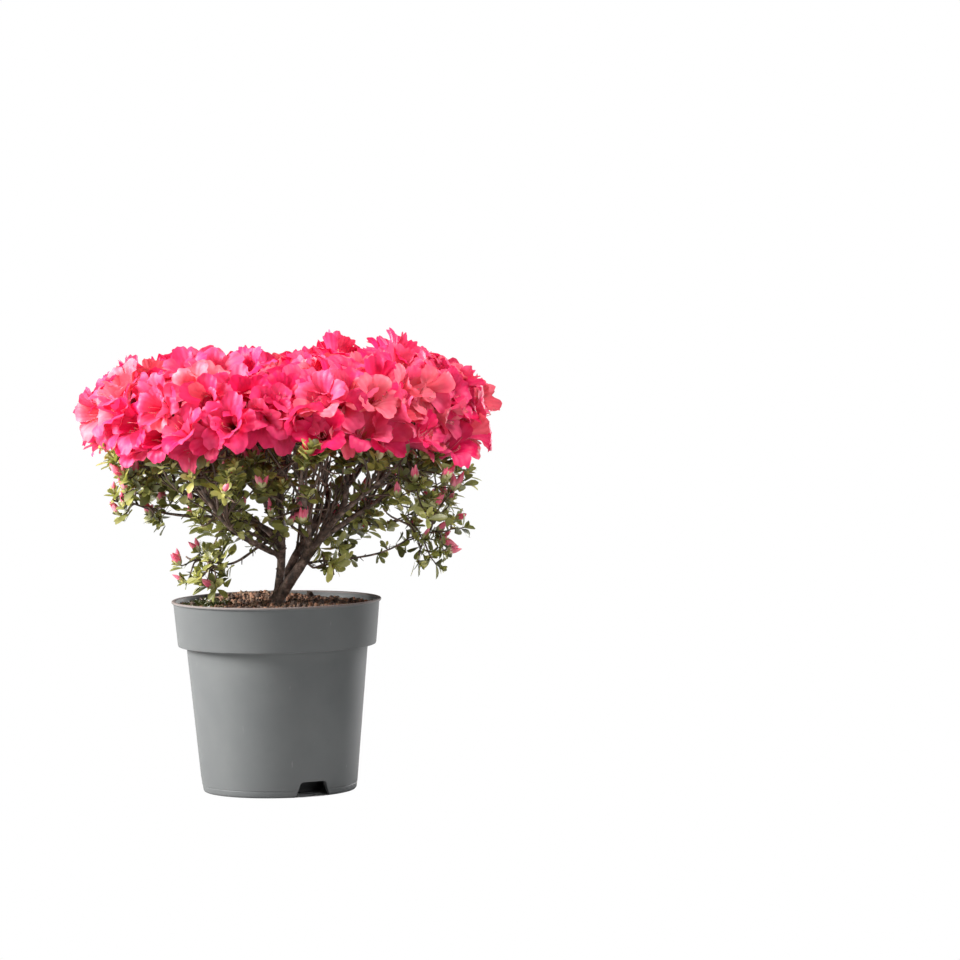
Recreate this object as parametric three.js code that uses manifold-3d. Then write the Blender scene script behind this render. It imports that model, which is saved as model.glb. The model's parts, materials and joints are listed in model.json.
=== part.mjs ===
// A potted azalea shrub in full flower, in millimetres, with +Z up, +X right and +Y to the back.
// The origin is the centre of the flat underside of the pot.
// Thin stems rise from a low fork, each bough runs to one mass of leaves and flowers, and the
// masses share the space of a flat crown between them.

import * as THREE from 'three';
import { mergeVertices } from 'three/addons/utils/BufferGeometryUtils.js';
import Module from 'manifold-3d';

const wasm = await Module();
wasm.setup();

const GAP = 0.3; // clearance between pieces that touch
const TURN = 2 * Math.PI;
const GOLDEN_TURN = 2.399963; // the angle that spreads points evenly round a spiral
const UP = new THREE.Vector3(0, 0, 1);

// The pot: a tapered wall with a deep band under the rim, and a foot ring round a raised channel.
const POT = {
  height: 137,
  rimRadius: 75,
  lipWidth: 1.1,
  lipHeight: 2,
  bandTopRadius: 73.9,
  bandFootRadius: 71.2,
  bandFoot: 104.6,
  bodyTopRadius: 64.8,
  footRadius: 55.2,
  footWidth: 2.6,
  wall: 1.6,
  dishRadius: 31,
  channelHeight: 12,
  draft: 1.5, // how far the walls of the channel slope in
  ledge: 1, // half the height of the slope under the band
  notchCount: 3,
  notchHeight: 11,
  notchTopWidth: 19,
  notchFootWidth: 27,
  notchHeading: -62, // degrees from +X, of the first notch
  segments: 32,
};

// The soil's top, rising from its edge to the flat patch round the trunk.
const SOIL = { top: 133.6, edge: 130.6, rings: [0.78, 0.5], roughness: 0.7 };

// The trunk is the short crotch where the stems part, with its root flare.
const TRUNK = { right: -1, back: 0, buried: 4, fork: 22, flare: 0.35, flareReach: 6, flatRadius: 17 };
const LIMB_SIDES = { trunk: 7, stem: 7, bough: 5 };
const LIMB_STEPS = { trunk: 4, stem: 6, bough: 5, line: 16 };

// Each stem: its foot from the trunk's centre, its heading in degrees from +X towards +Y, its lean
// from the upright at the foot and at the tip in degrees, its length, its radius at foot and tip, and
// the share of its length that stays bare of boughs.
const STEMS = {
  left: { right: -1.4, back: -1, heading: 170, lean: [-18, 6], length: 60, radius: [3, 2.7], bare: 0.65 },
  middle: { right: 0.4, back: 6, heading: 20, lean: [15, 43], length: 74, radius: [3.3, 2.6], bare: 0.45 },
  right: { right: -2.4, back: -4.4, heading: -7, lean: [33, 39], length: 84, radius: [4.3, 2.8], bare: 0.4 },
  back: { right: 3.4, back: 11, heading: 88, lean: [9, 40], length: 70, radius: [3.1, 2.1], bare: 0.4 },
};

// The crown: the surface on which the flowers' centres lie.
const CROWN = {
  right: 8,
  back: 2,
  halfWidth: 141,
  halfDepth: 130,
  widest: 268,
  topRise: 45,
  underDrop: 34,
  squareness: 0.6,
  topPower: 0.75,
  lastAngle: 124, // degrees from straight up, where the flowers end under the crown's edge
  steps: 90,
};
// Gentle swells of the crown's top: where along X, how high and how wide.
const SWELLS = [
  { right: -52, lift: 4, reach: 26 },
  { right: 4, lift: -6, reach: 20 },
  { right: 74, lift: 7, reach: 36 },
];

// Masses that carry the flowers, in rings round the crown's middle.
const RINGS = [
  { name: 'crown_middle', count: 1, share: 0, height: 266, heading: 0 },
  { name: 'crown_inner', count: 4, share: 0.46, height: 262, heading: 62 },
  { name: 'crown_outer', count: 8, share: 0.84, height: 254, heading: 9 },
];

// Low sprays of leaves and buds: the heart's place, the stem that carries it, how far up that its bough
// leaves, the bough's radius at both ends, how far its shoots reach and how far the bough sags.
const SPRAYS = {
  spray_low_left: { heart: [-48, -16, 166], carrier: 'left', at: 0.82, radius: [1.3, 0.8], reach: 24 },
  spray_far_left: { heart: [-101, -8, 208], carrier: 'left', at: 0.9, radius: [1.9, 0.8], reach: 27 },
  spray_mid_left: { heart: [-38, -34, 204], carrier: 'left', at: 0.9, radius: [1.4, 0.9], reach: 24 },
  spray_low_right: {
    heart: [108, -12, 183], carrier: 'right', at: 0.46, radius: [1.0, 0.6], reach: 27, sag: 14,
  },
  spray_under_right: { heart: [38, -22, 163], carrier: 'right', at: 0.5, radius: [1.0, 0.7], reach: 15 },
  spray_front: { heart: [14, -44, 203], carrier: 'right', at: 0.64, radius: [1.3, 0.9], reach: 23 },
  spray_back_left: { heart: [-44, 52, 188], carrier: 'back', at: 0.5, radius: [1.4, 0.9], reach: 27 },
  spray_back_right: { heart: [56, 48, 190], carrier: 'middle', at: 0.5, radius: [1.4, 0.9], reach: 27 },
};

// Boughs: how slant and how stiffly they leave, the clearance between them, and how far along a bough
// its own stem is close by.
const BOUGH = { radius: [2.1, 1.15], slant: 0.45, stiffness: 0.35, clear: 0.9, leaveClear: 14 };
// How a bough finds room: how far and in how many ways it bows, and how much higher or lower it leaves.
const BOWS = { reaches: [0, 5, 10, 15, 21, 28], ways: 8 };
const HEIGHTS = {
  shifts: [0, 0.05, -0.05, 0.1, -0.1, 0.15, -0.15, 0.2, -0.2, 0.25, 0.3],
  above: 0.1, // by which share of a stem its lowest bough of the crown leaves above its bare foot
  highest: 0.93,
};
// How far below a mass's heart its stem starts, how long it is for that and how steeply it rises.
const CROWN_STEM = { footLength: 24, stretch: 1.25, lift: 1.2 };
const SPRAY_STEM = { footLength: 12, stretch: 1.5, lift: 0.7 };
const HUB = new THREE.Vector3(6, 2, 150); // the masses' stems point away from here

// Parts of a mass. Each leaf is larger than life and stands for a few.
const FLOWER = {
  count: 100,
  petals: 5,
  radius: 20.5,
  depth: 11,
  wall: 3,
  swing: 3.5, // how far from the crown's surface a flower may stand
  leafShare: 0.3, // the share of flowers with a leaf on their stalk
  leafAt: 0.6,
};
const PETAL_OUTLINE = [1, 0.6, 1]; // rim radius at a petal's two corners and the notch between
const PETAL_LIFT = [1, -3, 1]; // rim height, in millimetres, at the same places
const ROOM = { shifts: [0, 6, 12], ways: 6, lifts: [0, 4, -4, 8] }; // how far a flower may move for room
const LEAF = { length: 20, width: 10, thickness: 1.3, sunk: 0.3, spread: 54, sway: 12, spacing: 2.7 };
const BUD = { length: 19, radius: 3.7, sides: 4 };
const TWIG = { sides: 3, radius: [1.15, 0.85] };
const FORKS = { low: 0.1, high: 0.94 }; // where twigs leave a mass's stem
const LEAF_SHOOTS = { count: 30, low: 190, lowRise: 30, high: 236, reach: 0.92, leaves: 4 };
const SPRAY_SHOOTS = { count: 4, leaves: 5, flatness: 0.8 };
const CELL_REACH = 15; // how far a mass may reach past the middle between its heart and the next
const LIMB_MARGIN = 0.5; // how far a mass keeps off the limbs
const ABOVE_POT = 1.5; // and off the pot
const FUSE_TOLERANCE = 0.03; // how closely the fused masses keep their shape

const MATERIALS = {
  pot: { color: 0x7d8081, roughness: 0.55, metalness: 0 },
  soil: { color: 0x4a2f22, roughness: 0.95, metalness: 0 },
  bark: { color: 0x4b3730, roughness: 0.85, metalness: 0 },
  blossom: { color: 0xf23c6a, roughness: 0.6, metalness: 0 },
  leaves: { color: 0x4b6a2e, roughness: 0.5, metalness: 0 },
};

const radians = (degrees) => (degrees * Math.PI) / 180;
const mix = (a, b, t) => a + (b - a) * t;

// Random numbers from 0 to 1, the same on every run.
function seeded(seed) {
  let state = seed >>> 0;
  return () => {
    state = (Math.imul(state, 1664525) + 1013904223) >>> 0;
    return state / 4294967296;
  };
}

// A closed geometry as a solid that faces outwards.
function toSolid(geometry) {
  const bare = geometry.clone();
  bare.deleteAttribute('normal');
  bare.deleteAttribute('uv');
  const merged = mergeVertices(bare, 1e-4);
  const index = merged.index.array;
  const triVerts = [];
  for (let i = 0; i < index.length; i += 3) {
    const [a, b, c] = [index[i], index[i + 1], index[i + 2]];
    if (a !== b && b !== c && c !== a) triVerts.push(a, b, c);
  }
  const make = () => new wasm.Manifold(new wasm.Mesh({
    numProp: 3,
    vertProperties: new Float32Array(merged.attributes.position.array),
    triVerts: new Uint32Array(triVerts),
  }));
  const solid = make();
  if (solid.volume() > 0) return solid;
  for (let i = 0; i < triVerts.length; i += 3) {
    [triVerts[i + 1], triVerts[i + 2]] = [triVerts[i + 2], triVerts[i + 1]];
  }
  return make();
}

// The largest closed shell of a solid: loose scraps go, and sealed hollows are filled.
function largestPiece(solid) {
  const pieces = solid.decompose();
  return pieces.reduce((best, piece) => (piece.volume() > best.volume() ? piece : best));
}

function toGeometry(solid) {
  const mesh = solid.getMesh();
  const positions = new Float32Array(mesh.numVert * 3);
  for (let i = 0; i < mesh.numVert; i++) {
    positions.set(mesh.vertProperties.subarray(i * mesh.numProp, i * mesh.numProp + 3), i * 3);
  }
  const geometry = new THREE.BufferGeometry();
  geometry.setAttribute('position', new THREE.BufferAttribute(positions, 3));
  geometry.setIndex(new THREE.BufferAttribute(new Uint32Array(mesh.triVerts), 1));
  geometry.computeVertexNormals();
  return geometry;
}

const material = Object.fromEntries(
  Object.entries(MATERIALS).map(([name, look]) => [name, new THREE.MeshStandardMaterial(look)]),
);
const shrub = new THREE.Group();

function addNode(name, solid, look) {
  const node = new THREE.Mesh(toGeometry(solid), material[look]);
  node.name = name;
  shrub.add(node);
}

// Turns a lathed profile, given as [radius, height] pairs, upright.
function lathe(profile, segments) {
  const points = profile.map(([radius, height]) => new THREE.Vector2(radius, height));
  return new THREE.LatheGeometry(points, segments).rotateX(Math.PI / 2);
}

// A tapering limb: a cylinder bent along a line of points, with a radius for each share of its length.
function limbGeometry(points, radiusAt, sides, steps) {
  const curve = new THREE.CatmullRomCurve3(points);
  const frames = curve.computeFrenetFrames(steps, false);
  const geometry = new THREE.CylinderGeometry(1, 1, 1, sides, steps);
  const place = geometry.attributes.position;
  for (let i = 0; i < place.count; i++) {
    const share = place.getY(i) + 0.5;
    const step = Math.round(share * steps);
    const at = curve.getPointAt(step / steps);
    at.addScaledVector(frames.binormals[step], place.getX(i) * radiusAt(step / steps));
    at.addScaledVector(frames.normals[step], place.getZ(i) * radiusAt(step / steps));
    place.setXYZ(i, at.x, at.y, at.z);
  }
  return geometry;
}

// The matrix that stands a shape at a place, with its Y along one direction and its Z near another.
function standing(at, along, facing) {
  const y = along.clone().normalize();
  let x = new THREE.Vector3().crossVectors(y, facing);
  if (x.length() < 1e-3) x = new THREE.Vector3().crossVectors(y, new THREE.Vector3(1, 0.3, 0));
  x.normalize();
  const z = new THREE.Vector3().crossVectors(x, y);
  return new THREE.Matrix4().makeBasis(x, y, z).setPosition(at);
}

function potSolid() {
  const p = POT;
  const floor = p.channelHeight + p.wall;
  const shell = toSolid(lathe([
    [0, 0], [p.dishRadius, 0], [p.dishRadius + p.draft, p.channelHeight],
    [p.footRadius - p.footWidth - p.draft, p.channelHeight], [p.footRadius - p.footWidth, 0],
    [p.footRadius, 0], [p.bodyTopRadius, p.bandFoot - p.ledge],
    [p.bandFootRadius, p.bandFoot + p.ledge], [p.bandTopRadius, p.height - p.lipHeight],
    [p.rimRadius, p.height - p.lipHeight + p.lipWidth / 2],
    [p.rimRadius, p.height], [p.rimRadius - p.lipWidth - p.wall, p.height],
    [p.bandFootRadius - p.wall, p.bandFoot + p.wall + p.ledge],
    [p.bodyTopRadius - p.wall, p.bandFoot - 2 * p.ledge],
    [p.footRadius - p.wall + p.draft, floor], [p.dishRadius + p.draft - p.wall / 2, floor],
    [p.dishRadius - p.wall, p.wall], [0, p.wall],
  ], p.segments));
  const outline = new THREE.Shape([
    new THREE.Vector2(-p.notchFootWidth / 2, -1), new THREE.Vector2(p.notchFootWidth / 2, -1),
    new THREE.Vector2(p.notchTopWidth / 2, p.notchHeight),
    new THREE.Vector2(-p.notchTopWidth / 2, p.notchHeight),
  ]);
  const reach = 2.5 * p.footWidth;
  const cuts = Array.from({ length: p.notchCount }, (_, i) => {
    const cut = new THREE.ExtrudeGeometry(outline, { depth: reach, bevelEnabled: false, steps: 1 });
    cut.rotateX(Math.PI / 2).rotateZ(Math.PI / 2).translate(p.footRadius + p.footWidth - reach, 0, 0);
    cut.rotateZ(radians(p.notchHeading) + (i * TURN) / p.notchCount);
    return toSolid(cut);
  });
  return largestPiece(cuts.reduce((pot, cut) => pot.subtract(cut), shell));
}

// The soil fills the pot, with a rough, slightly mounded top that is flat where the trunk stands.
function soilSolid() {
  const p = POT;
  const floor = p.channelHeight + p.wall + GAP;
  const inset = p.wall + 2 * GAP;
  const level = (SOIL.edge - p.bandFoot) / (p.height - p.bandFoot);
  const edge = mix(p.bandFootRadius, p.bandTopRadius, level) - inset;
  const geometry = lathe([
    [0, p.wall + GAP], [p.dishRadius - inset, p.wall + GAP],
    [p.dishRadius - GAP, floor], [p.footRadius - inset + p.draft / 2, floor],
    [p.bodyTopRadius - inset, p.bandFoot - 2 * p.ledge],
    [p.bandFootRadius - inset, p.bandFoot + p.wall + 1.5 * p.ledge], [edge, SOIL.edge],
    ...SOIL.rings.map((share) => [edge * share, mix(SOIL.top, SOIL.edge, share)]),
    [TRUNK.flatRadius, SOIL.top], [0, SOIL.top],
  ], p.segments);
  const place = geometry.attributes.position;
  for (let i = 0; i < place.count; i++) {
    const [x, y, z] = [place.getX(i), place.getY(i), place.getZ(i)];
    const radius = Math.hypot(x, y);
    if (z < SOIL.edge - 0.1 || radius < TRUNK.flatRadius + 1) continue;
    const bump = Math.sin(x * 0.31 + y * 0.12) + Math.sin(y * 0.27 - x * 0.16 + 2);
    place.setZ(i, z + bump * SOIL.roughness);
  }
  return toSolid(geometry);
}

// Points along an arc whose lean from the upright changes evenly from foot to tip.
function stemPoints(stem) {
  const steps = LIMB_STEPS.line;
  const heading = radians(stem.heading);
  const at = new THREE.Vector3(TRUNK.right + stem.right, TRUNK.back + stem.back, SOIL.top - TRUNK.buried);
  const points = [at.clone()];
  for (let i = 0; i < steps; i++) {
    const lean = radians(mix(stem.lean[0], stem.lean[1], (i + 0.5) / steps));
    const flat = (Math.sin(lean) * stem.length) / steps;
    at.x += flat * Math.cos(heading);
    at.y += flat * Math.sin(heading);
    at.z += (Math.cos(lean) * stem.length) / steps;
    points.push(at.clone());
  }
  return points;
}

// A stretch of a line of points, between two shares of its length.
function stretch(points, from, to, count) {
  const curve = new THREE.CatmullRomCurve3(points);
  return Array.from({ length: count + 1 }, (_, i) => curve.getPointAt(mix(from, to, i / count)));
}

// Points along a limb with their radii, for keeping other limbs clear of it, from where it comes out
// of what carries it.
function beads(points, radiusAt, buried = 0) {
  const curve = new THREE.CatmullRomCurve3(points);
  const count = Math.max(2, Math.ceil(curve.getLength() / 2.5));
  const all = curve.getSpacedPoints(count).map((at, i) => ({ at, radius: radiusAt(i / count) }));
  return all.filter((bead) => bead.at.distanceTo(all[0].at) >= buried);
}

const stems = Object.entries(STEMS).map(([name, stem]) => {
  const points = stemPoints(stem);
  const radiusAt = (share) => mix(stem.radius[0], stem.radius[1], share);
  return { name, ...stem, points, radiusAt, curve: new THREE.CatmullRomCurve3(points) };
});

// The root flare widens a stem where it meets the soil.
function flaredRadius(stem, share) {
  const above = Math.max(0, share * stem.length - TRUNK.buried);
  return stem.radiusAt(share) * (1 + TRUNK.flare * Math.exp(-above / TRUNK.flareReach));
}

function trunkSolid() {
  const parts = stems.map((stem) => {
    const end = TRUNK.fork / stem.length;
    const points = stretch(stem.points, 0, end, LIMB_STEPS.trunk);
    const radiusAt = (share) => flaredRadius(stem, share * end);
    return toSolid(limbGeometry(points, radiusAt, LIMB_SIDES.trunk, LIMB_STEPS.trunk));
  });
  const below = new THREE.BoxGeometry(200, 200, 40).translate(0, 0, SOIL.top + GAP - 20);
  return largestPiece(wasm.Manifold.union(parts).subtract(toSolid(below)));
}

// A stem from the trunk's top to its tip, made wider all round by some clearance where that is asked.
function stemSolid(stem, clearance = 0) {
  const from = (TRUNK.fork + GAP) / stem.length;
  const points = stretch(stem.points, from, 1, LIMB_STEPS.stem);
  const radiusAt = (share) => stem.radiusAt(mix(from, 1, share)) + clearance;
  return toSolid(limbGeometry(points, radiusAt, LIMB_SIDES.stem, LIMB_STEPS.stem));
}

// How high the crown's top swells at a place along X.
function swell(right) {
  return SWELLS.reduce((sum, s) => sum + s.lift * Math.exp(-(((right - s.right) / s.reach) ** 2)), 0);
}

// The crown's surface at an angle from straight up and a heading: a place and the way it faces.
function crownSurface(angle, heading) {
  const out = Math.sin(angle) ** CROWN.squareness;
  const rise = Math.cos(angle);
  const right = CROWN.right + CROWN.halfWidth * out * Math.cos(heading);
  const back = CROWN.back + CROWN.halfDepth * out * Math.sin(heading);
  const lift = rise > 0
    ? (CROWN.topRise + swell(right)) * rise ** CROWN.topPower
    : CROWN.underDrop * rise;
  const facing = new THREE.Vector3(
    Math.sin(angle) * Math.cos(heading), Math.sin(angle) * Math.sin(heading), rise,
  );
  return { at: new THREE.Vector3(right, back, CROWN.widest + lift), facing };
}

// Angles from straight up at which the crown's surface, from its top, reaches each share of its area.
function crownAngles(count) {
  const last = radians(CROWN.lastAngle);
  const rim = (step) => {
    const angle = (last * step) / CROWN.steps;
    const out = Math.sin(angle) ** CROWN.squareness;
    const rise = Math.cos(angle);
    const lift = rise > 0 ? CROWN.topRise * rise ** CROWN.topPower : CROWN.underDrop * rise;
    return [CROWN.halfWidth * out, lift];
  };
  const area = [0];
  for (let step = 1; step <= CROWN.steps; step++) {
    const [a, b] = [rim(step - 1), rim(step)];
    area.push(area[step - 1] + (a[0] + b[0]) * Math.hypot(b[0] - a[0], b[1] - a[1]));
  }
  return Array.from({ length: count }, (_, k) => {
    const wanted = (area[CROWN.steps] * (k + 0.5)) / count;
    const step = area.findIndex((value) => value >= wanted);
    const part = (wanted - area[step - 1]) / (area[step] - area[step - 1]);
    return (last * (step - 1 + part)) / CROWN.steps;
  });
}

// Every mass: its name, its heart, the foot where its bough meets it and the way it grows from there.
function layOutMasses() {
  const masses = [];
  for (const ring of RINGS) {
    for (let i = 0; i < ring.count; i++) {
      const heading = radians(ring.heading) + (i * TURN) / ring.count;
      const heart = new THREE.Vector3(
        CROWN.right + CROWN.halfWidth * ring.share * Math.cos(heading),
        CROWN.back + CROWN.halfDepth * ring.share * Math.sin(heading),
        ring.height,
      );
      const name = ring.count > 1 ? `${ring.name}_${i + 1}` : ring.name;
      masses.push({ name, heart, ...CROWN_STEM, radius: BOUGH.radius, flowers: true });
    }
  }
  for (const [name, spray] of Object.entries(SPRAYS)) {
    masses.push({ name, ...spray, ...SPRAY_STEM, heart: new THREE.Vector3(...spray.heart) });
  }
  masses.forEach((mass, index) => {
    mass.index = index;
    mass.way = mass.heart.clone().sub(HUB);
    mass.way.z = Math.max(mass.way.z, 0) * mass.lift;
    mass.way.normalize();
    mass.foot = mass.heart.clone().addScaledVector(mass.way, -mass.footLength);
  });
  return masses;
}

const masses = layOutMasses();

// Shares the flowering masses out among the stems: each takes the stem whose tip is nearest, and
// those that lean out furthest leave their stem lowest.
function shareOutStems() {
  for (const stem of stems) stem.tip = stem.points[stem.points.length - 1];
  const nearest = (mass) => stems.reduce((best, stem) => (
    stem.tip.distanceTo(mass.foot) < best.tip.distanceTo(mass.foot) ? stem : best));
  for (const mass of masses) {
    mass.parent = mass.carrier ? stems.find((stem) => stem.name === mass.carrier) : nearest(mass);
  }
  for (const stem of stems) {
    const own = masses.filter((mass) => mass.flowers && mass.parent === stem);
    const out = (mass) => Math.hypot(mass.foot.x - stem.tip.x, mass.foot.y - stem.tip.y);
    own.sort((a, b) => out(b) - out(a));
    own.forEach((mass, i) => {
      mass.at = own.length > 1 ? mix(stem.bare + HEIGHTS.above, 1, i / (own.length - 1)) : 1;
    });
  }
}

// A bough's line: it leaves its stem at a slant, may bow aside, and enters its mass the way that grows.
function boughPoints(mass, at, bow, way) {
  const stem = mass.parent;
  const start = stem.curve.getPointAt(at);
  const along = stem.curve.getTangentAt(at);
  if (at === 1) start.addScaledVector(along, GAP);
  const straight = mass.foot.clone().sub(start);
  const length = straight.length();
  straight.normalize();
  const side = new THREE.Vector3().crossVectors(straight, UP).normalize().applyAxisAngle(straight, way);
  const leave = straight.clone().lerp(along, at === 1 ? 1 : BOUGH.slant).normalize();
  const first = start.clone().addScaledVector(leave, length * BOUGH.stiffness);
  const second = mass.foot.clone().addScaledVector(mass.way, -length * BOUGH.stiffness);
  const sag = mass.sag ?? 0;
  first.addScaledVector(side, bow).addScaledVector(UP, -sag * 0.5);
  second.addScaledVector(side, bow * 0.6).addScaledVector(UP, -sag);
  return new THREE.CubicBezierCurve3(start, first, second, mass.foot).getPoints(12);
}

// True if a limb's beads keep clear of another limb's.
function clearOf(own, other) {
  return own.every((bead) => other.every(
    (there) => bead.at.distanceTo(there.at) > bead.radius + there.radius + BOUGH.clear));
}

// Each bough takes the straightest way to its mass that keeps clear of the limbs already there: first
// those that carry on from a stem's tip, then those of the low sprays.
function layOutBoughs() {
  const placed = stems.map((stem) => ({ stem, beads: beads(stem.points, stem.radiusAt) }));
  const bows = BOWS.reaches.flatMap((bow) => (
    Array.from({ length: bow ? BOWS.ways : 1 }, (_, i) => [bow, (i * TURN) / BOWS.ways])));
  const turnOf = (mass) => (mass.at === 1 ? 0 : 1) + (mass.carrier ? 0 : 1);
  for (const mass of [...masses].sort((a, b) => turnOf(a) - turnOf(b) || a.index - b.index)) {
    const foot = mass.at === 1 ? mass.parent.radius[1] : mass.radius[0];
    mass.radiusAt = (share) => mix(foot, mass.radius[1], share ** 0.8);
    const heights = mass.at === 1 ? [1] : HEIGHTS.shifts.map(
      (shift) => Math.min(HEIGHTS.highest, Math.max(mass.parent.bare, mass.at + shift)));
    const tries = bows.flatMap(([bow, way]) => (
      heights.map((at) => ({ at, points: boughPoints(mass, at, bow, way) }))));
    const outOf = (at) => (at === 1 ? 0 : mass.parent.radiusAt(at));
    const fits = ({ at, points }) => {
      const own = beads(points, mass.radiusAt, outOf(at));
      const far = own.filter((bead) => bead.at.distanceTo(points[0]) > BOUGH.leaveClear);
      return placed.every((limb) => clearOf(limb.stem === mass.parent ? far : own, limb.beads));
    };
    const found = tries.find(fits);
    if (!found) console.warn(`${mass.name}: its bough touches another limb`);
    Object.assign(mass, found ?? tries[0]);
    placed.push({ beads: beads(mass.points, mass.radiusAt, outOf(mass.at)) });
  }
}

// A bough, cut back to leave its clearance round the stem that it grows from.
function boughSolid(mass) {
  const bough = toSolid(limbGeometry(mass.points, mass.radiusAt, LIMB_SIDES.bough, LIMB_STEPS.bough));
  return mass.at === 1 ? bough : largestPiece(bough.subtract(stemSolid(mass.parent, GAP)));
}

// A space that grows round the limbs: nothing in a mass may reach into it.
function limbSpace() {
  const wide = (points, radiusAt, steps) => toSolid(
    limbGeometry(points, (share) => radiusAt(share) + LIMB_MARGIN, LIMB_SIDES.stem, steps));
  return wasm.Manifold.union([
    ...stems.map((stem) => wide(stem.points, stem.radiusAt, LIMB_STEPS.stem)),
    ...masses.map((mass) => wide(mass.points, mass.radiusAt, LIMB_STEPS.bough)),
  ]);
}

// True if every corner of a shape is in a mass's own space: near the cell round its heart, and above
// the pot and soil.
function inOwnSpace(geometry, mass) {
  const place = geometry.attributes.position;
  const corner = new THREE.Vector3();
  for (let i = 0; i < place.count; i++) {
    corner.fromBufferAttribute(place, i);
    if (corner.z < POT.height + ABOVE_POT) return false;
    const own = corner.distanceToSquared(mass.heart);
    for (const other of masses) {
      const apart = mass.heart.distanceTo(other.heart);
      const past = (own - corner.distanceToSquared(other.heart)) / (2 * apart);
      if (other !== mass && past > CELL_REACH) return false;
    }
  }
  return true;
}

function twigGeometry(from, to, radius, sides = TWIG.sides) {
  const along = to.clone().sub(from);
  const geometry = new THREE.CylinderGeometry(radius[1], radius[0], along.length(), sides, 1);
  geometry.translate(0, along.length() / 2, 0);
  return geometry.applyMatrix4(standing(from, along, UP));
}

// A leaf of eight faces, its foot sunk into the twig and its face turned along it.
function leafGeometry(at, along, facing, size) {
  const leaf = new THREE.OctahedronGeometry(1, 0);
  leaf.scale(LEAF.width * 0.5 * size, LEAF.length * 0.5 * size, LEAF.thickness * 0.5);
  leaf.translate(0, LEAF.length * 0.5 * size - LEAF.sunk, 0);
  return leaf.applyMatrix4(standing(at, along, facing));
}

// A funnel flower that faces along one direction, in one piece with the three-sided stalk from its twig.
function flowerGeometry(at, facing, turn, from) {
  const stand = standing(at, facing, UP);
  const rimCount = FLOWER.petals * PETAL_OUTLINE.length;
  const onRing = (spoke, reach, height) => {
    const angle = turn + (spoke * TURN) / rimCount;
    return new THREE.Vector3(reach * Math.cos(angle), height, reach * Math.sin(angle));
  };
  const rim = Array.from({ length: rimCount }, (_, i) => {
    const spot = i % PETAL_OUTLINE.length;
    return onRing(i, FLOWER.radius * PETAL_OUTLINE[spot], PETAL_LIFT[spot]).applyMatrix4(stand);
  });
  const share = rimCount / TWIG.sides;
  const corners = (reach, height) => (
    Array.from({ length: TWIG.sides }, (_, j) => onRing((j + 0.5) * share, reach, height)));
  const back = corners(TWIG.radius[1], -FLOWER.depth - FLOWER.wall).map((v) => v.applyMatrix4(stand));
  const foot = corners(TWIG.radius[0], 0).map(
    (v) => v.transformDirection(stand).setLength(TWIG.radius[0]).add(from));
  const throat = new THREE.Vector3(0, -FLOWER.depth, 0).applyMatrix4(stand);
  const [firstBack, firstFoot] = [rimCount + 1, rimCount + 1 + TWIG.sides];
  const index = [];
  for (let i = 0; i < rimCount; i++) {
    const next = (i + 1) % rimCount;
    index.push(rimCount, i, next, firstBack + Math.floor(i / share), next, i);
  }
  for (let j = 0; j < TWIG.sides; j++) {
    const k = (j + 1) % TWIG.sides;
    index.push((k * share) % rimCount, firstBack + j, firstBack + k);
    index.push(firstBack + k, firstBack + j, firstFoot + j, firstBack + k, firstFoot + j, firstFoot + k);
  }
  index.push(firstFoot + 2, firstFoot + 1, firstFoot);
  return new THREE.BufferGeometry().setFromPoints([...rim, throat, ...back, ...foot]).setIndex(index);
}

function budGeometry(at, along) {
  const bud = new THREE.LatheGeometry([
    new THREE.Vector2(0, -1.5), new THREE.Vector2(BUD.radius, BUD.length * 0.42),
    new THREE.Vector2(0, BUD.length),
  ], BUD.sides);
  return bud.applyMatrix4(standing(at, along, UP));
}

// A direction that leans away from a shoot's own, to the side given by a turn.
function leaning(along, lean, turn) {
  const across = Math.abs(along.z) < 0.9 ? UP : new THREE.Vector3(1, 0, 0);
  const side = new THREE.Vector3().crossVectors(along, across).normalize().applyAxisAngle(along, turn);
  return along.clone().multiplyScalar(Math.cos(lean)).addScaledVector(side, Math.sin(lean)).normalize();
}

const nearestMass = (at) => masses.reduce((best, mass) => (
  at.distanceTo(mass.heart) < at.distanceTo(best.heart) ? mass : best));

// The places that flowers grow to, from the crown's top down, each with the way it faces.
function flowerSpots() {
  const random = seeded(71);
  return crownAngles(FLOWER.count).map((angle, k) => {
    const spot = crownSurface(angle, k * GOLDEN_TURN);
    spot.at.addScaledVector(spot.facing, mix(-FLOWER.swing, FLOWER.swing, random()));
    return { ...spot, mass: nearestMass(spot.at) };
  });
}

// The places that leafy twigs grow to: under the flowers, and round the heart of each low spray.
function shootSpots() {
  const random = seeded(29);
  const s = LEAF_SHOOTS;
  const spots = Array.from({ length: s.count }, (_, k) => {
    const out = Math.sqrt((k + 0.5) / s.count) * s.reach;
    const heading = k * GOLDEN_TURN + 1;
    const at = new THREE.Vector3(
      CROWN.right + CROWN.halfWidth * out * Math.cos(heading),
      CROWN.back + CROWN.halfDepth * out * Math.sin(heading),
      mix(s.low + s.lowRise * out * out, s.high, random()),
    );
    return { at, mass: nearestMass(at) };
  });
  for (const mass of masses.filter((one) => !one.flowers)) {
    for (let k = 0; k < SPRAY_SHOOTS.count; k++) {
      const rise = 1 - (2 * (k + 0.5)) / SPRAY_SHOOTS.count;
      const reach = mass.reach * mix(0.6, 0.8, random());
      const heading = k * GOLDEN_TURN + mass.index;
      const way = new THREE.Vector3(Math.cos(heading), Math.sin(heading), 0);
      way.multiplyScalar(Math.sqrt(1 - rise * rise)).setZ(rise * SPRAY_SHOOTS.flatness);
      spots.push({ at: mass.heart.clone().addScaledVector(way, reach), mass });
    }
  }
  return spots;
}

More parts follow.
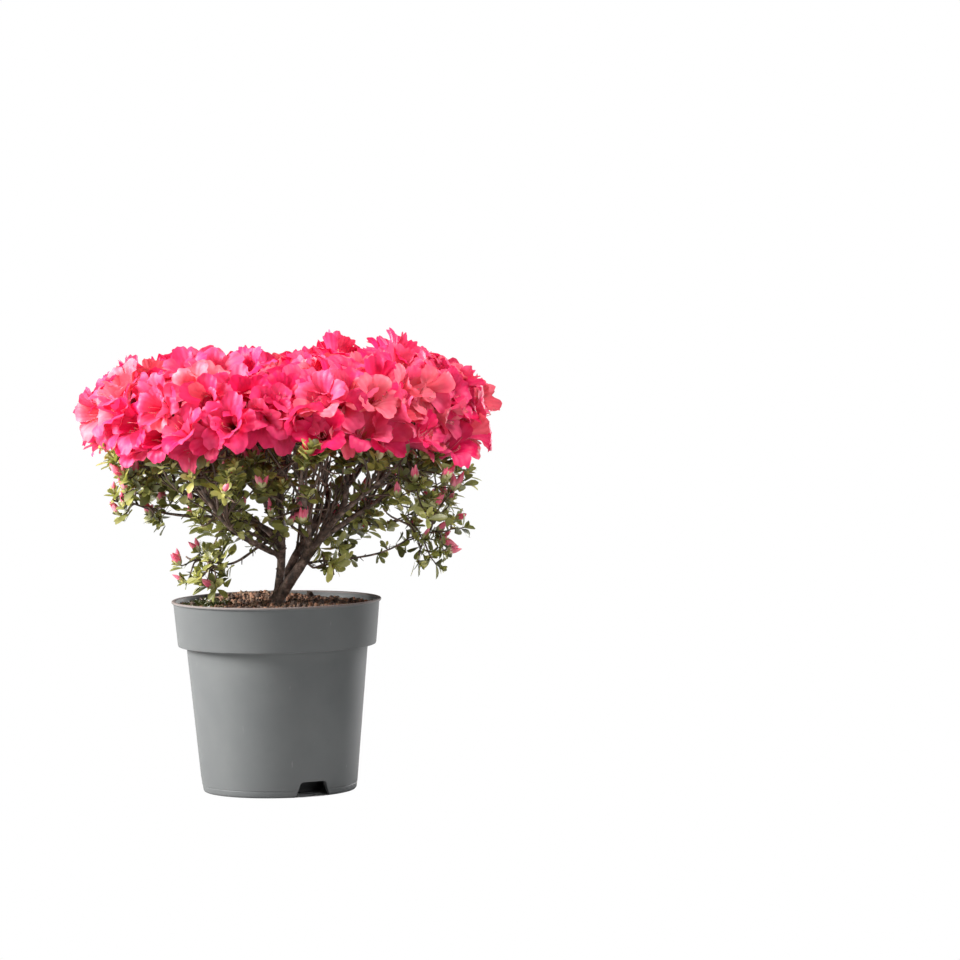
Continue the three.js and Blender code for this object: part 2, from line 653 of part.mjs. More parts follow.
// Twigs leave a mass's stem one above another, in the order of the levels that they grow to.
function setForks(mass, spots) {
  const levelOf = (spot) => spot.at.clone().sub(mass.start).dot(mass.way);
  const own = spots.filter((spot) => spot.mass === mass).sort((a, b) => levelOf(a) - levelOf(b));
  own.forEach((spot, rank) => {
    spot.fork = mass.start.clone().lerp(mass.end, mix(FORKS.low, FORKS.high, (rank + 0.5) / own.length));
  });
}

// Grows every mass from its foot: a stem, then flowers on their stalks, then leafy twigs. A part may
// touch only the one that carries it, and keeps its clearance from limbs and other masses.
function growMasses() {
  const limbs = limbSpace();
  const random = seeded(503);
  for (const mass of masses) {
    mass.start = mass.foot.clone().addScaledVector(mass.way, GAP);
    mass.end = mass.foot.clone().addScaledVector(mass.way, mass.footLength * mass.stretch);
    const radius = [mass.radius[1], mass.radius[1] * 0.9];
    mass.stem = toSolid(twigGeometry(mass.start, mass.end, radius, 5));
    mass.parts = [mass.stem];
  }
  const keep = (mass, geometry, carrier) => {
    if (!inOwnSpace(geometry, mass)) return null;
    const solid = toSolid(geometry);
    const clear = (other, part) => (
      other === mass ? part.intersect(solid).isEmpty() : part.minGap(solid, GAP) >= GAP);
    const fits = masses.every((other) => other.parts.every((part) => part === carrier || clear(other, part)));
    if (!fits || !solid.intersect(limbs).isEmpty()) return null;
    mass.parts.push(solid);
    return solid;
  };
  // Leaves stand round the last stretch of a twig, each a turn and a step further down it.
  const leafDown = (mass, tip, along, count, carrier) => {
    const turn = random() * TURN;
    for (let i = 0; i < count; i++) {
      const lean = radians(LEAF.spread + mix(-LEAF.sway, LEAF.sway, random()));
      const at = tip.clone().addScaledVector(along, -(i + 0.5) * LEAF.spacing);
      const size = mix(0.85, 1.1, random());
      keep(mass, leafGeometry(at, leaning(along, lean, turn + i * GOLDEN_TURN), along, size), carrier);
    }
  };

  const flowers = flowerSpots();
  const shoots = shootSpots();
  for (const mass of masses) setForks(mass, [...flowers, ...shoots]);
  const moves = ROOM.shifts.flatMap((shift) => (
    Array.from({ length: shift ? ROOM.ways : 1 }, (_, i) => (
      ROOM.lifts.map((lift) => [shift, (i * TURN) / ROOM.ways, lift])))).flat());
  for (const { at, facing, mass, fork } of flowers) {
    const turn = random() * TURN;
    const aside = new THREE.Vector3(facing.y, -facing.x, 0).normalize();
    for (const [shift, way, lift] of moves) {
      const there = at.clone().addScaledVector(aside.clone().applyAxisAngle(facing, way), shift);
      there.addScaledVector(facing, lift);
      const flower = keep(mass, flowerGeometry(there, facing, turn, fork), mass.stem);
      if (!flower) continue;
      const along = there.clone().sub(fork).normalize();
      const leafy = fork.clone().lerp(there, FLOWER.leafAt);
      if (random() < FLOWER.leafShare) leafDown(mass, leafy, along, 1, flower);
      break;
    }
  }
  shoots.forEach(({ at, mass, fork }, k) => {
    const along = at.clone().sub(fork).normalize();
    const twig = keep(mass, twigGeometry(fork, at, TWIG.radius), mass.stem);
    if (!twig) return;
    leafDown(mass, at, along, mass.flowers ? LEAF_SHOOTS.leaves : SPRAY_SHOOTS.leaves, twig);
    if (k % 2 === 0) keep(mass, budGeometry(at, along), twig);
  });
}

const massSolid = (mass) => (
  largestPiece(wasm.Manifold.union(mass.parts).asOriginal().simplify(FUSE_TOLERANCE)));

shareOutStems();
layOutBoughs();
growMasses();

addNode('pot', potSolid(), 'pot');
addNode('soil', soilSolid(), 'soil');
addNode('trunk', trunkSolid(), 'bark');
for (const stem of stems) addNode(`stem_${stem.name}`, stemSolid(stem), 'bark');
for (const mass of masses) addNode(`bough_${mass.name}`, boughSolid(mass), 'bark');
for (const mass of masses) addNode(mass.name, massSolid(mass), mass.flowers ? 'blossom' : 'leaves');

export default shrub;
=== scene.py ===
# A potted azalea shrub in full flower: its pot, soil, bark, twigs, leaves, buds and flowers.
# Shapes are worked out in millimetres, in the frame of the CAD model, and become metres as they
# are built. Limbs and twigs grow by the rule that the CAD solids grew by, carried to finer twigs.
import json
import math
from itertools import cycle, product
from math import cos, radians, sin, sqrt

import bmesh
import bpy
import numpy as np
from mathutils import Matrix, Vector
from numpy.random import default_rng

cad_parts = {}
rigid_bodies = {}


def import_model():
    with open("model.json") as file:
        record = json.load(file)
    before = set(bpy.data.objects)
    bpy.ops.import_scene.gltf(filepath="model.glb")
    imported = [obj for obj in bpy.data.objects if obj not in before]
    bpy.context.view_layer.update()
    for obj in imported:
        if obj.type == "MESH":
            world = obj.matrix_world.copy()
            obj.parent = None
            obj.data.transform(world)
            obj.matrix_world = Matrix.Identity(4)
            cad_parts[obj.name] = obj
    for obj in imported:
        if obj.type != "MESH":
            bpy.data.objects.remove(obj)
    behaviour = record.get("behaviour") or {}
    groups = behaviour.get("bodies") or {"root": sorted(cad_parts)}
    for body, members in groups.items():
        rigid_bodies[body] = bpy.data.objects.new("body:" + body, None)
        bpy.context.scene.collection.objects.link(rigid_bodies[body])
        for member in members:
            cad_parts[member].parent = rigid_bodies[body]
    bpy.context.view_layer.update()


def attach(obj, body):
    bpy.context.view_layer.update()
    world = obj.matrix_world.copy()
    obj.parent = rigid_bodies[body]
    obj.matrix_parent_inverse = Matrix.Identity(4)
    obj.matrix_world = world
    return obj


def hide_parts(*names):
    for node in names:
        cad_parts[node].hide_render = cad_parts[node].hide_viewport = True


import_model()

MM = 0.001
GAP = 0.3
TURN = 2 * math.pi
GOLDEN_TURN = 2.399963
UP = np.array([0.0, 0.0, 1.0])
LEVEL = np.array([1, 1, 0])


class Row(dict):
    """Named values, read and set as attributes."""

    __getattr__ = dict.__getitem__
    __setattr__ = dict.__setitem__


def table(keys, rows):
    return [Row(zip(keys.split(), row)) for row in rows]


# The limbs' rule, with the sizes that the CAD model has

SOIL_TOP = 133.6
TRUNK = Row(buried=4, flare=0.35, flare_reach=6)
STEMS = table("name foot heading lean length radius bare", [
    ("left", (-2.4, -1), 170, (-18, 6), 60, (3, 2.7), 0.65),
    ("middle", (-0.6, 6), 20, (15, 43), 74, (3.3, 2.6), 0.45),
    ("right", (-3.4, -4.4), -7, (33, 39), 84, (4.3, 2.8), 0.4),
    ("back", (2.4, 11), 88, (9, 40), 70, (3.1, 2.1), 0.4),
])
LINE_STEPS = 16
CROWN = Row(
    right=8, back=2, half_width=141, half_depth=130, widest=268, top_rise=45, under_drop=34,
    squareness=0.6, top_power=0.75, last_angle=124, steps=90,
)
SWELLS = [(-52, 4, 26), (4, -6, 20), (74, 7, 36)]  # where along X, how high and how wide
RINGS = table("name count share height heading", [
    ("crown_middle", 1, 0, 266, 0),
    ("crown_inner", 4, 0.46, 262, 62),
    ("crown_outer", 8, 0.84, 254, 9),
])
SPRAYS = table("name heart carrier at radius reach sag shoots droop shift", [
    ("spray_low_left", (-48, -16, 166), "left", 0.82, (1.3, 0.8), 24, 0, 13, 0, (0, 0, -7)),
    ("spray_far_left", (-101, -8, 208), "left", 0.9, (1.9, 0.8), 27, 0, 12, 0, (9, 0, 3)),
    ("spray_mid_left", (-38, -34, 204), "left", 0.9, (1.4, 0.9), 24, 0, 12, 0, (0, 0, 0)),
    ("spray_low_right", (108, -12, 183), "right", 0.46, (1, 0.6), 27, 14, 9, 0.9, (1, 0, -9)),
    ("spray_under_right", (38, -22, 163), "right", 0.5, (1, 0.7), 15, 0, 3, 1.5, (3, 0, 8)),
    ("spray_front", (14, -44, 203), "right", 0.64, (1.3, 0.9), 23, 0, 7, 0, (0, 0, 0)),
    ("spray_back_left", (-44, 52, 188), "back", 0.5, (1.4, 0.9), 27, 0, 13, 0, (0, 0, 0)),
    ("spray_back_right", (56, 48, 190), "middle", 0.5, (1.4, 0.9), 27, 0, 18, 0, (0, 0, 0)),
])
CROWN_STEM = Row(
    foot_length=24, stretch=1.25, lift=1.2, radius=(2.1, 1.15), sag=0, carrier=None, flowers=True,
)
SPRAY_STEM = Row(foot_length=12, stretch=1.5, lift=0.7, flowers=False)
BOUGH = Row(slant=0.45, stiffness=0.35, apart=0.9, leave=14)
BOWS = Row(reaches=(5, 10, 15, 21, 28), ways=8)
HEIGHTS = Row(shifts=(0, 0.05, -0.05, 0.1, -0.1, 0.15, -0.15, 0.2, -0.2, 0.25, 0.3), above=0.1, top=0.93)
HUB = np.array([6.0, 2.0, 150.0])
FORKS = (0.1, 0.94)
FLOWER_TWIGS = Row(count=100, swing=3.5, seed=71)
LEAF_TWIGS = Row(count=30, low=190, low_rise=30, high=236, reach=0.92, seed=29)
SPRAY_TWIGS = Row(count=4, reach=(0.6, 0.8), shape=(1, 1, 0.8))


def mix(a, b, t):
    return a + (b - a) * t


def unit(v):
    v = np.asarray(v, float)
    return v / np.maximum(np.linalg.norm(v, axis=-1, keepdims=True), 1e-9)


def pointing(lean, heading):
    """The direction at an angle from straight up and a heading."""
    return np.array([sin(lean) * cos(heading), sin(lean) * sin(heading), cos(lean)])


def ball_way(k, count, heading):
    """One of some directions that share out a ball."""
    return pointing(math.acos(1 - 2 * (k + 0.5) / count), heading)


def across(way):
    """A direction square to another."""
    return unit(np.cross(way, UP if abs(way[2]) < 0.9 else [1, 0, 0]))


def seeded(seed):
    """Random numbers from 0 to 1, the same on every run and as in the CAD model."""
    while True:
        seed = (seed * 1664525 + 1013904223) % 2**32
        yield seed / 2**32


def turned(v, axis, angle):
    """A vector turned about a unit axis."""
    return v * cos(angle) + np.cross(axis, v) * sin(angle) + axis * np.dot(axis, v) * (1 - cos(angle))


class Line:
    """A line of points, read by shares of its length."""

    def __init__(self, points):
        self.points = np.array(points, float)
        self.run = np.concatenate([[0], np.cumsum(np.linalg.norm(np.diff(self.points, axis=0), axis=1))])
        self.length = self.run[-1]

    def at(self, share):
        wanted = np.asarray(share, float) * self.length
        return np.stack([np.interp(wanted, self.run, self.points[:, k]) for k in range(3)], axis=-1)

    def way(self, share):
        return unit(self.at(np.minimum(share + 0.02, 1)) - self.at(np.maximum(share - 0.02, 0)))


def bezier(start, first, second, end, count):
    t = np.linspace(0, 1, count)[:, None]
    return start * (1 - t) ** 3 + 3 * first * t * (1 - t) ** 2 + 3 * second * t**2 * (1 - t) + end * t**3


# Limbs, laid out as in the CAD model

def lay_out_stems():
    stems = []
    for sizes in STEMS:
        points = [np.array([*sizes.foot, SOIL_TOP - TRUNK.buried])]
        for i in range(LINE_STEPS):
            lean = radians(mix(*sizes.lean, (i + 0.5) / LINE_STEPS))
            step = pointing(lean, radians(sizes.heading)) * sizes.length / LINE_STEPS
            points.append(points[-1] + step)
        stem = Row(sizes, line=Line(points), tip=points[-1])
        stem.radius_at = lambda share, ends=sizes.radius: mix(*ends, share)
        stems.append(stem)
    return stems


def beads(line, radius_at, buried=0):
    """Points along a limb with their radii, from where it comes out of what carries it."""
    shares = np.linspace(0, 1, max(2, math.ceil(line.length / 2.5)) + 1)
    at = line.at(shares)
    out = np.linalg.norm(at - at[0], axis=1) >= buried
    return at[out], np.array([radius_at(share) for share in shares])[out]


def clear_of(own, other):
    apart = np.linalg.norm(own[0][:, None] - other[0][None], axis=2)
    return bool(np.all(apart > own[1][:, None] + other[1][None] + BOUGH.apart))


def crown_place(out, heading, height):
    """A place in the crown, at a share of the way from its middle to its edge."""
    return np.array([
        CROWN.right + CROWN.half_width * out * cos(heading),
        CROWN.back + CROWN.half_depth * out * sin(heading), height])


def lay_out_masses():
    masses = []
    for ring in RINGS:
        for i in range(ring.count):
            heading = radians(ring.heading) + i * TURN / ring.count
            name = f"{ring.name}_{i + 1}" if ring.count > 1 else ring.name
            heart = crown_place(ring.share, heading, ring.height)
            masses.append(Row(CROWN_STEM, name=name, heart=heart))
    masses += [Row(SPRAY_STEM, **spray) for spray in SPRAYS]
    for index, mass in enumerate(masses):
        heart = np.array(mass.heart, float)
        way = heart - HUB
        way[2] = max(way[2], 0) * mass.lift
        way = unit(way)
        foot = heart - way * mass.foot_length
        mass.update(
            index=index, heart=heart, way=way, foot=foot, start=foot + way * GAP,
            end=foot + way * mass.foot_length * mass.stretch)
    return masses


def share_out_stems(stems, masses):
    """A mass takes the stem that is named for it, or else the one whose tip is nearest."""
    for mass in masses:
        mass.parent = min(stems, key=lambda stem: (
            stem.name != mass.carrier, np.linalg.norm(stem.tip - mass.foot)))
    for stem in stems:
        own = [mass for mass in masses if mass.flowers and mass.parent is stem]
        own.sort(key=lambda mass: -np.linalg.norm((mass.foot - stem.tip)[:2]))
        for i, mass in enumerate(own):
            mass.at = mix(stem.bare + HEIGHTS.above, 1, i / (len(own) - 1)) if len(own) > 1 else 1


def bough_points(mass, at, bow, way):
    line = mass.parent.line
    along = line.way(at)
    start = line.at(at) + (along * GAP if at == 1 else 0)
    length = np.linalg.norm(mass.foot - start)
    straight = (mass.foot - start) / length
    side = turned(unit(np.cross(straight, UP)), straight, way)
    leave = unit(mix(straight, along, 1 if at == 1 else BOUGH.slant))
    reach = length * BOUGH.stiffness
    first = start + leave * reach + side * bow - UP * mass.sag * 0.5
    second = mass.foot - mass.way * reach + side * bow * 0.6 - UP * mass.sag
    return bezier(start, first, second, mass.foot, 25)


def lay_out_boughs(stems, masses):
    """Each bough takes the straightest way to its mass that keeps clear of the limbs already there."""
    placed = [(stem, beads(stem.line, stem.radius_at)) for stem in stems]
    bows = [(0, 0), *product(BOWS.reaches, [i * TURN / BOWS.ways for i in range(BOWS.ways)])]
    for mass in sorted(masses, key=lambda one: (one.flowers and one.at != 1, one.index)):
        parent, (foot, tip) = mass.parent, mass.radius
        heights = np.clip(mass.at + np.array(HEIGHTS.shifts), parent.bare, HEIGHTS.top)
        if mass.at == 1:
            heights, foot = [1], parent.radius[1]
        mass.radius_at = lambda share, foot=foot, tip=tip: mix(foot, tip, share**0.8)
        for (bow, way), at in product(bows, heights):
            line = Line(bough_points(mass, at, bow, way))
            own = beads(line, mass.radius_at, 0 if at == 1 else parent.radius_at(at))
            away = np.linalg.norm(own[0] - line.points[0], axis=1) > BOUGH.leave
            far = (own[0][away], own[1][away])
            if all(clear_of(far if stem is parent else own, there) for stem, there in placed):
                break
        mass.at, mass.line = at, line
        placed.append((None, own))


# Twigs, by the rule that shares out the crown's surface among the masses

def crown_surface(angle, heading):
    """The crown's surface at an angle from straight up and a heading: a place and the way it faces."""
    rise = cos(angle)
    at = crown_place(sin(angle) ** CROWN.squareness, heading, CROWN.widest + CROWN.under_drop * rise)
    if rise > 0:
        swell = sum(lift * math.exp(-(((at[0] - place) / reach) ** 2)) for place, lift, reach in SWELLS)
        at[2] = CROWN.widest + (CROWN.top_rise + swell) * rise ** CROWN.top_power
    return at, pointing(angle, heading)


def crown_angles(count):
    """Angles from straight up at which the crown's surface reaches each share of its area."""
    angles = radians(CROWN.last_angle) * np.linspace(0, 1, CROWN.steps + 1)
    rise = np.cos(angles)
    over = CROWN.top_rise * np.maximum(rise, 0) ** CROWN.top_power
    lift = np.where(rise > 0, over, CROWN.under_drop * rise)
    out = CROWN.half_width * np.sin(angles) ** CROWN.squareness
    bands = (out[1:] + out[:-1]) * np.hypot(np.diff(out), np.diff(lift))
    area = np.concatenate([[0], np.cumsum(bands)])
    return np.interp(area[-1] * (np.arange(count) + 0.5) / count, area, angles)


def nearest_mass(masses, at):
    return min(masses, key=lambda mass: np.linalg.norm(at - mass.heart))


def main_spots(masses):
    """The places that the main twigs grow to, as in the CAD model."""
    random = seeded(FLOWER_TWIGS.seed)
    spots = []
    for k, angle in enumerate(crown_angles(FLOWER_TWIGS.count)):
        at, facing = crown_surface(angle, k * GOLDEN_TURN)
        at = at + facing * mix(-FLOWER_TWIGS.swing, FLOWER_TWIGS.swing, next(random))
        spots.append(Row(at=at, mass=nearest_mass(masses, at), flower=True))
    random = seeded(LEAF_TWIGS.seed)
    for k in range(LEAF_TWIGS.count):
        out = sqrt((k + 0.5) / LEAF_TWIGS.count) * LEAF_TWIGS.reach
        height = mix(LEAF_TWIGS.low + LEAF_TWIGS.low_rise * out * out, LEAF_TWIGS.high, next(random))
        at = crown_place(out, k * GOLDEN_TURN + 1, height)
        spots.append(Row(at=at, mass=nearest_mass(masses, at), flower=False))
    for mass, k in product(masses, range(SPRAY_TWIGS.count)):
        if not mass.flowers:
            way = ball_way(k, SPRAY_TWIGS.count, k * GOLDEN_TURN + mass.index) * SPRAY_TWIGS.shape
            reach = mass.reach * mix(*SPRAY_TWIGS.reach, next(random))
            spots.append(Row(at=mass.heart + way * reach, mass=mass, flower=False))
    return spots


def set_forks(masses, spots):
    """Twigs leave a mass's stem one above another, in the order of the levels that they grow to."""
    for mass in masses:
        own = [spot for spot in spots if spot.mass is mass]
        own.sort(key=lambda spot: float(np.dot(spot.at - mass.start, mass.way)))
        for rank, spot in enumerate(own):
            spot.fork = mix(mass.start, mass.end, mix(*FORKS, (rank + 0.5) / len(own)))
        mass.spots = own


# Meshes made of many small grids, and their frames

TUBE_END = 0.05  # the share of its width to which a tube closes


def add_object(name, data):
    added = bpy.data.objects.new(name, data)
    bpy.context.scene.collection.objects.link(added)
    return added


class Shapes:
    """Points and four-sided faces of many small shapes, to be built as one object."""

    def __init__(self):
        self.points, self.faces, self.count = [], [], 0

    def add(self, points, faces):
        points = np.asarray(points, float).reshape(-1, 3)
        self.points.append(points)
        self.faces.append(np.asarray(faces) + self.count)
        self.count += len(points)

    def copies(self, points, faces, frames, places):
        """Adds a copy of a shape for each 3 by 3 frame, whose rows are its X, Y and Z, and its place."""
        moved = np.einsum("pi,kij->kpj", points, frames) + places[:, None]
        steps = np.arange(len(frames))[:, None, None] * len(points)
        self.add(moved, (faces[None] + steps).reshape(-1, 4))

    def whole(self):
        return np.concatenate(self.points), np.concatenate(self.faces)

    def build(self, name, material, slot, replaced=()):
        points, faces = self.whole()
        mesh = bpy.data.meshes.new(name)
        mesh.vertices.add(len(points))
        mesh.vertices.foreach_set("co", (points * MM).ravel())
        mesh.loops.add(faces.size)
        mesh.loops.foreach_set("vertex_index", faces.ravel())
        mesh.polygons.add(len(faces))
        mesh.polygons.foreach_set("loop_start", np.arange(len(faces)) * 4)
        mesh.update(calc_edges=True)
        mesh.shade_smooth()
        mesh.materials.append(material)
        piece = add_object(name, mesh)
        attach(piece, "root")
        if replaced:
            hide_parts(*replaced)
        return piece


def grid_faces(rows, columns, closed=False):
    """Faces of a grid of points, row by row; a closed one joins its last column to its first."""
    row, column = np.meshgrid(
        np.arange(rows - 1) * columns, np.arange(columns if closed else columns - 1), indexing="ij")
    ahead = (column + 1) % columns
    corners = [row + column, row + ahead, row + columns + ahead, row + columns + column]
    return np.stack(corners, axis=-1).reshape(-1, 4)


def round_z(radius, angles, height):
    return np.stack(np.broadcast_arrays(radius * np.cos(angles), radius * np.sin(angles), height), axis=-1)


def round_y(radius, angles, along):
    return np.stack(np.broadcast_arrays(radius * np.cos(angles), along, radius * np.sin(angles)), axis=-1)


def tube(centres, radii, sides, relief=None):
    """A tube round a line of centres, closed by small rings at both ends."""
    centres = np.asarray(centres, float)
    radii = np.asarray(radii, float)
    ways = unit(np.gradient(centres, axis=0))
    first = across(ways[0])
    firsts = []
    for way in ways:
        first = unit(first - way * np.dot(first, way))
        firsts.append(first)
    firsts = np.array(firsts)
    seconds = np.cross(ways, firsts)
    angles = np.arange(sides) * TURN / sides
    ring = firsts[:, None] * np.cos(angles)[:, None] + seconds[:, None] * np.sin(angles)[:, None]
    reach = radii[:, None] + (relief(centres, angles, radii) if relief else np.zeros(sides))
    points = centres[:, None] + ring * reach[:, :, None]
    start = centres[0] + (points[0] - centres[0]) * TUBE_END
    end = centres[-1] + ways[-1] * radii[-1] * 0.4 + (points[-1] - centres[-1]) * TUBE_END
    points = np.concatenate([start[None], points, end[None]])
    return points.reshape(-1, 3), grid_faces(len(centres) + 2, sides, closed=True)


def frames_for(along, facing, spin=None):
    """A frame for each direction: Y runs along it and Z points near another, turned by a spin."""
    y = unit(along)
    x = np.cross(y, facing)
    weak = np.linalg.norm(x, axis=1) < 1e-3
    x[weak] = np.cross(y[weak], [1, 0.3, 0.1])
    x = unit(x)
    z = np.cross(x, y)
    if spin is not None:
        c, s = np.cos(spin)[:, None], np.sin(spin)[:, None]
        x, z = x * c + z * s, z * c - x * s
    return np.stack([x, y, z], axis=1)


class Waves:
    """Smooth noise from a sum of waves in random directions, about -1 to 1."""

    def __init__(self, seed, length, count=7):
        draw = default_rng(seed)
        ways = unit(draw.normal(size=(count, 3)))
        self.ways = ways * TURN / (length * draw.uniform(0.6, 1.7, (count, 1)))
        self.starts = draw.uniform(0, TURN, count)

    def __call__(self, points):
        return np.sin(np.asarray(points) @ self.ways.T + self.starts).mean(axis=-1) * 1.8


# Materials

def feed(made, **values):
    """Gives a node's inputs and settings their values. A node as a value links its first output."""
    for name, value in values.items():
        socket = made.inputs.get(name.replace("_", " "))
        if isinstance(value, bpy.types.Node):
            value = value.outputs[0]
        if isinstance(value, bpy.types.NodeSocket):
            made.id_data.links.new(value, socket)
        elif socket is not None:
            socket.default_value = value
        else:
            setattr(made, name, value)
    return made


def node(tree, kind, **values):
    return feed(tree.nodes.new("ShaderNode" + kind), **values)


def mix_shaders(tree, share, first, second):
    """The material shows a mix of two shaders."""
    both = node(tree, "MixShader", Fac=share)
    for k, shader in ((1, first), (2, second)):
        tree.links.new(shader.outputs[0], both.inputs[k])
    feed(tree.nodes["Material Output"], Surface=both)


def colour_steps(tree, steps, drift):
    """A colour ramp through (place, colour) steps."""
    ramp = node(tree, "ValToRGB", Fac=drift)
    while len(ramp.color_ramp.elements) < len(steps):
        ramp.color_ramp.elements.new(0.5)
    for element, (place, colour) in zip(ramp.color_ramp.elements, steps):
        element.position = place
        element.color = (*colour, 1)
    return ramp


def material(
        name, steps, scale, roughness, bump=0.0, bump_scale=None, through=None, share=0.0, detail=4,
        **shine):
    """A surface whose colour drifts through some steps, with a fine bump and, for petals and leaves,
    the light that comes through them."""
    made = bpy.data.materials.new(name)
    made.use_nodes = True
    tree = made.node_tree
    place = node(tree, "TexCoord").outputs["Object"]
    drift = node(tree, "TexNoise", Vector=place, Scale=scale / MM, Detail=detail, Roughness=0.6)
    surface = tree.nodes["Principled BSDF"]
    feed(surface, Base_Color=colour_steps(tree, steps, drift), Roughness=roughness, **shine)
    if bump:
        fine = (bump_scale or scale) / MM
        grain = node(tree, "TexNoise", Vector=place, Scale=fine, Detail=5.0, Roughness=0.65)
        feed(surface, Normal=node(tree, "Bump", Strength=1.0, Distance=bump * MM, Height=grain))
    if share:
        mix_shaders(tree, share, surface, node(tree, "BsdfTranslucent", Color=(*through, 1)))
    return made


def thin_material(name, look, share, *tones):
    """A petal's or leaf's surface, from its dark, usual, pale and shone-through tones."""
    return material(name, list(zip((0.3, 0.5, 0.72), tones)), through=tones[3], share=share, **look)


PETAL_LOOK = Row(
    scale=0.09, roughness=0.5, bump=0.12, bump_scale=0.9, detail=2, Sheen_Weight=0.12, Sheen_Roughness=0.4,
    Specular_IOR_Level=0.22,
)
LEAF_LOOK = Row(scale=0.12, roughness=0.38, bump=0.1, bump_scale=0.7, detail=3, Specular_IOR_Level=0.5)
PETAL_SHARE = 0.32  # how much of a petal's light comes through it
LEAF_SHARE = 0.22
# Four petal shades, deep to pale, dealt out per petal: partly the petals' own variety, partly painted
# light and shade for lit and shaded petals.
PETALS = {name: thin_material(f"petal_{name}", PETAL_LOOK, PETAL_SHARE, *tones) for name, *tones in [
    ("deep", (0.56, 0.002, 0.052), (0.67, 0.006, 0.09), (0.73, 0.018, 0.12), (0.78, 0.006, 0.078)),
    ("rose", (0.62, 0.009, 0.085), (0.67, 0.03, 0.132), (0.72, 0.056, 0.165), (0.79, 0.026, 0.115)),
    ("coral", (0.66, 0.028, 0.118), (0.69, 0.056, 0.155), (0.73, 0.092, 0.186), (0.81, 0.05, 0.13)),
    ("pale", (0.69, 0.072, 0.138), (0.73, 0.122, 0.18), (0.77, 0.196, 0.24), (0.83, 0.096, 0.135)),
]}
# The throat's colour: partly its own brownish tint, partly painted shade for the depth of the funnel.
THROAT_TINT_AND_SHADE = thin_material(
    "petal_throat", PETAL_LOOK, PETAL_SHARE, (0.34, 0.02, 0.035), (0.46, 0.06, 0.06), (0.52, 0.15, 0.1),
    (0.5, 0.05, 0.05))
STAMEN = material("stamen", [(0.3, (0.75, 0.12, 0.2)), (0.7, (0.85, 0.3, 0.36))], 0.2, 0.5)
ANTHER = material("anther", [(0.3, (0.3, 0.07, 0.07)), (0.7, (0.5, 0.2, 0.14))], 0.5, 0.7)
BUD = thin_material(
    "bud_petal", PETAL_LOOK, PETAL_SHARE, (0.6, 0.06, 0.13), (0.72, 0.17, 0.25), (0.82, 0.36, 0.4),
    (0.8, 0.14, 0.2))
BRACT = thin_material(
    "bud_bract", LEAF_LOOK, LEAF_SHARE, (0.306, 0.306, 0.108), (0.459, 0.442, 0.216), (0.595, 0.544, 0.36),
    (0.51, 0.493, 0.216))
LEAVES = {name: thin_material(f"leaf_{name}", LEAF_LOOK, share, *tones) for name, share, *tones in [
    ("old", 0.15, (0.037, 0.04, 0.011), (0.068, 0.069, 0.022), (0.112, 0.109, 0.04),
     (0.109, 0.119, 0.018)),
    ("dark", 0.18, (0.068, 0.073, 0.017), (0.116, 0.119, 0.032), (0.184, 0.178, 0.065),
     (0.19, 0.205, 0.032)),
    ("green", 0.22, (0.136, 0.145, 0.032), (0.211, 0.211, 0.058), (0.299, 0.284, 0.108),
     (0.326, 0.343, 0.058)),
    ("fresh", 0.3, (0.258, 0.264, 0.058), (0.367, 0.356, 0.115), (0.462, 0.436, 0.202),
     (0.503, 0.475, 0.13)),
]}
BARK = material(
    "bark", [(0.34, (0.018, 0.011, 0.008)), (0.5, (0.078, 0.048, 0.035)), (0.66, (0.212, 0.144, 0.114))],
    0.22, 0.75, bump=0.35, bump_scale=0.9, detail=6)
TWIG = material(
    "twig_bark",
    [(0.3, (0.03, 0.016, 0.011)), (0.55, (0.084, 0.048, 0.032)), (0.75, (0.168, 0.108, 0.073))],
    0.16, 0.7, bump=0.1, bump_scale=0.9)
SHOOT = material("green_shoot", [(0.3, (0.14, 0.15, 0.04)), (0.7, (0.26, 0.25, 0.09))], 0.2, 0.6)
PLASTIC = material(
    "pot_plastic", [(0.35, (0.073, 0.077, 0.079)), (0.65, (0.084, 0.088, 0.089))], 0.02, 0.5, bump=0.02,
    bump_scale=0.6, detail=8, Specular_IOR_Level=0.25)
# The rim's lighter top: partly soil dust, partly a painted highlight along the lip.
RIM_DUST_AND_HIGHLIGHT = Row(start=135.4, end=136.6, colour=(0.14, 0.118, 0.112, 1))
SCUFFS = Row(scale=0.5, stretch=(1, 1, 0.12), start=0.715, end=0.8, colour=(0.13, 0.132, 0.13, 1))
SOIL = material(
    "soil", [(0.3, (0.026, 0.014, 0.008)), (0.52, (0.085, 0.042, 0.024)), (0.74, (0.156, 0.088, 0.052))],
    0.35, 0.95, bump=0.5, bump_scale=0.8, detail=8)
CRUMBS = {
    name: material(f"soil_{name}", [(0.3, dark), (0.7, light)], 0.5, roughness, bump=0.2)
    for name, roughness, dark, light in [
        ("dark", 0.95, (0.02, 0.011, 0.007), (0.06, 0.033, 0.022)),
        ("red", 0.9, (0.09, 0.04, 0.021), (0.195, 0.096, 0.055)),
        ("tan", 0.9, (0.08, 0.044, 0.025), (0.15, 0.092, 0.055)),
    ]
}
MOSS = thin_material(
    "moss", LEAF_LOOK, LEAF_SHARE, (0.016, 0.018, 0.005), (0.032, 0.034, 0.008), (0.055, 0.055, 0.015),
    (0.045, 0.053, 0.01))


def overlay_wear_and_highlight(tree, over, overlay, scale, under):
    """Another colour over the one under it, where a value passes from one end of the mark to the other:
    real wear for the scuffs, soil dust and a painted highlight for the rim.
    """
    share = node(tree, "MapRange", Value=over, From_Min=overlay.start * scale, From_Max=overlay.end * scale)
    return node(tree, "MixRGB", Fac=share, Color1=under, Color2=overlay.colour)


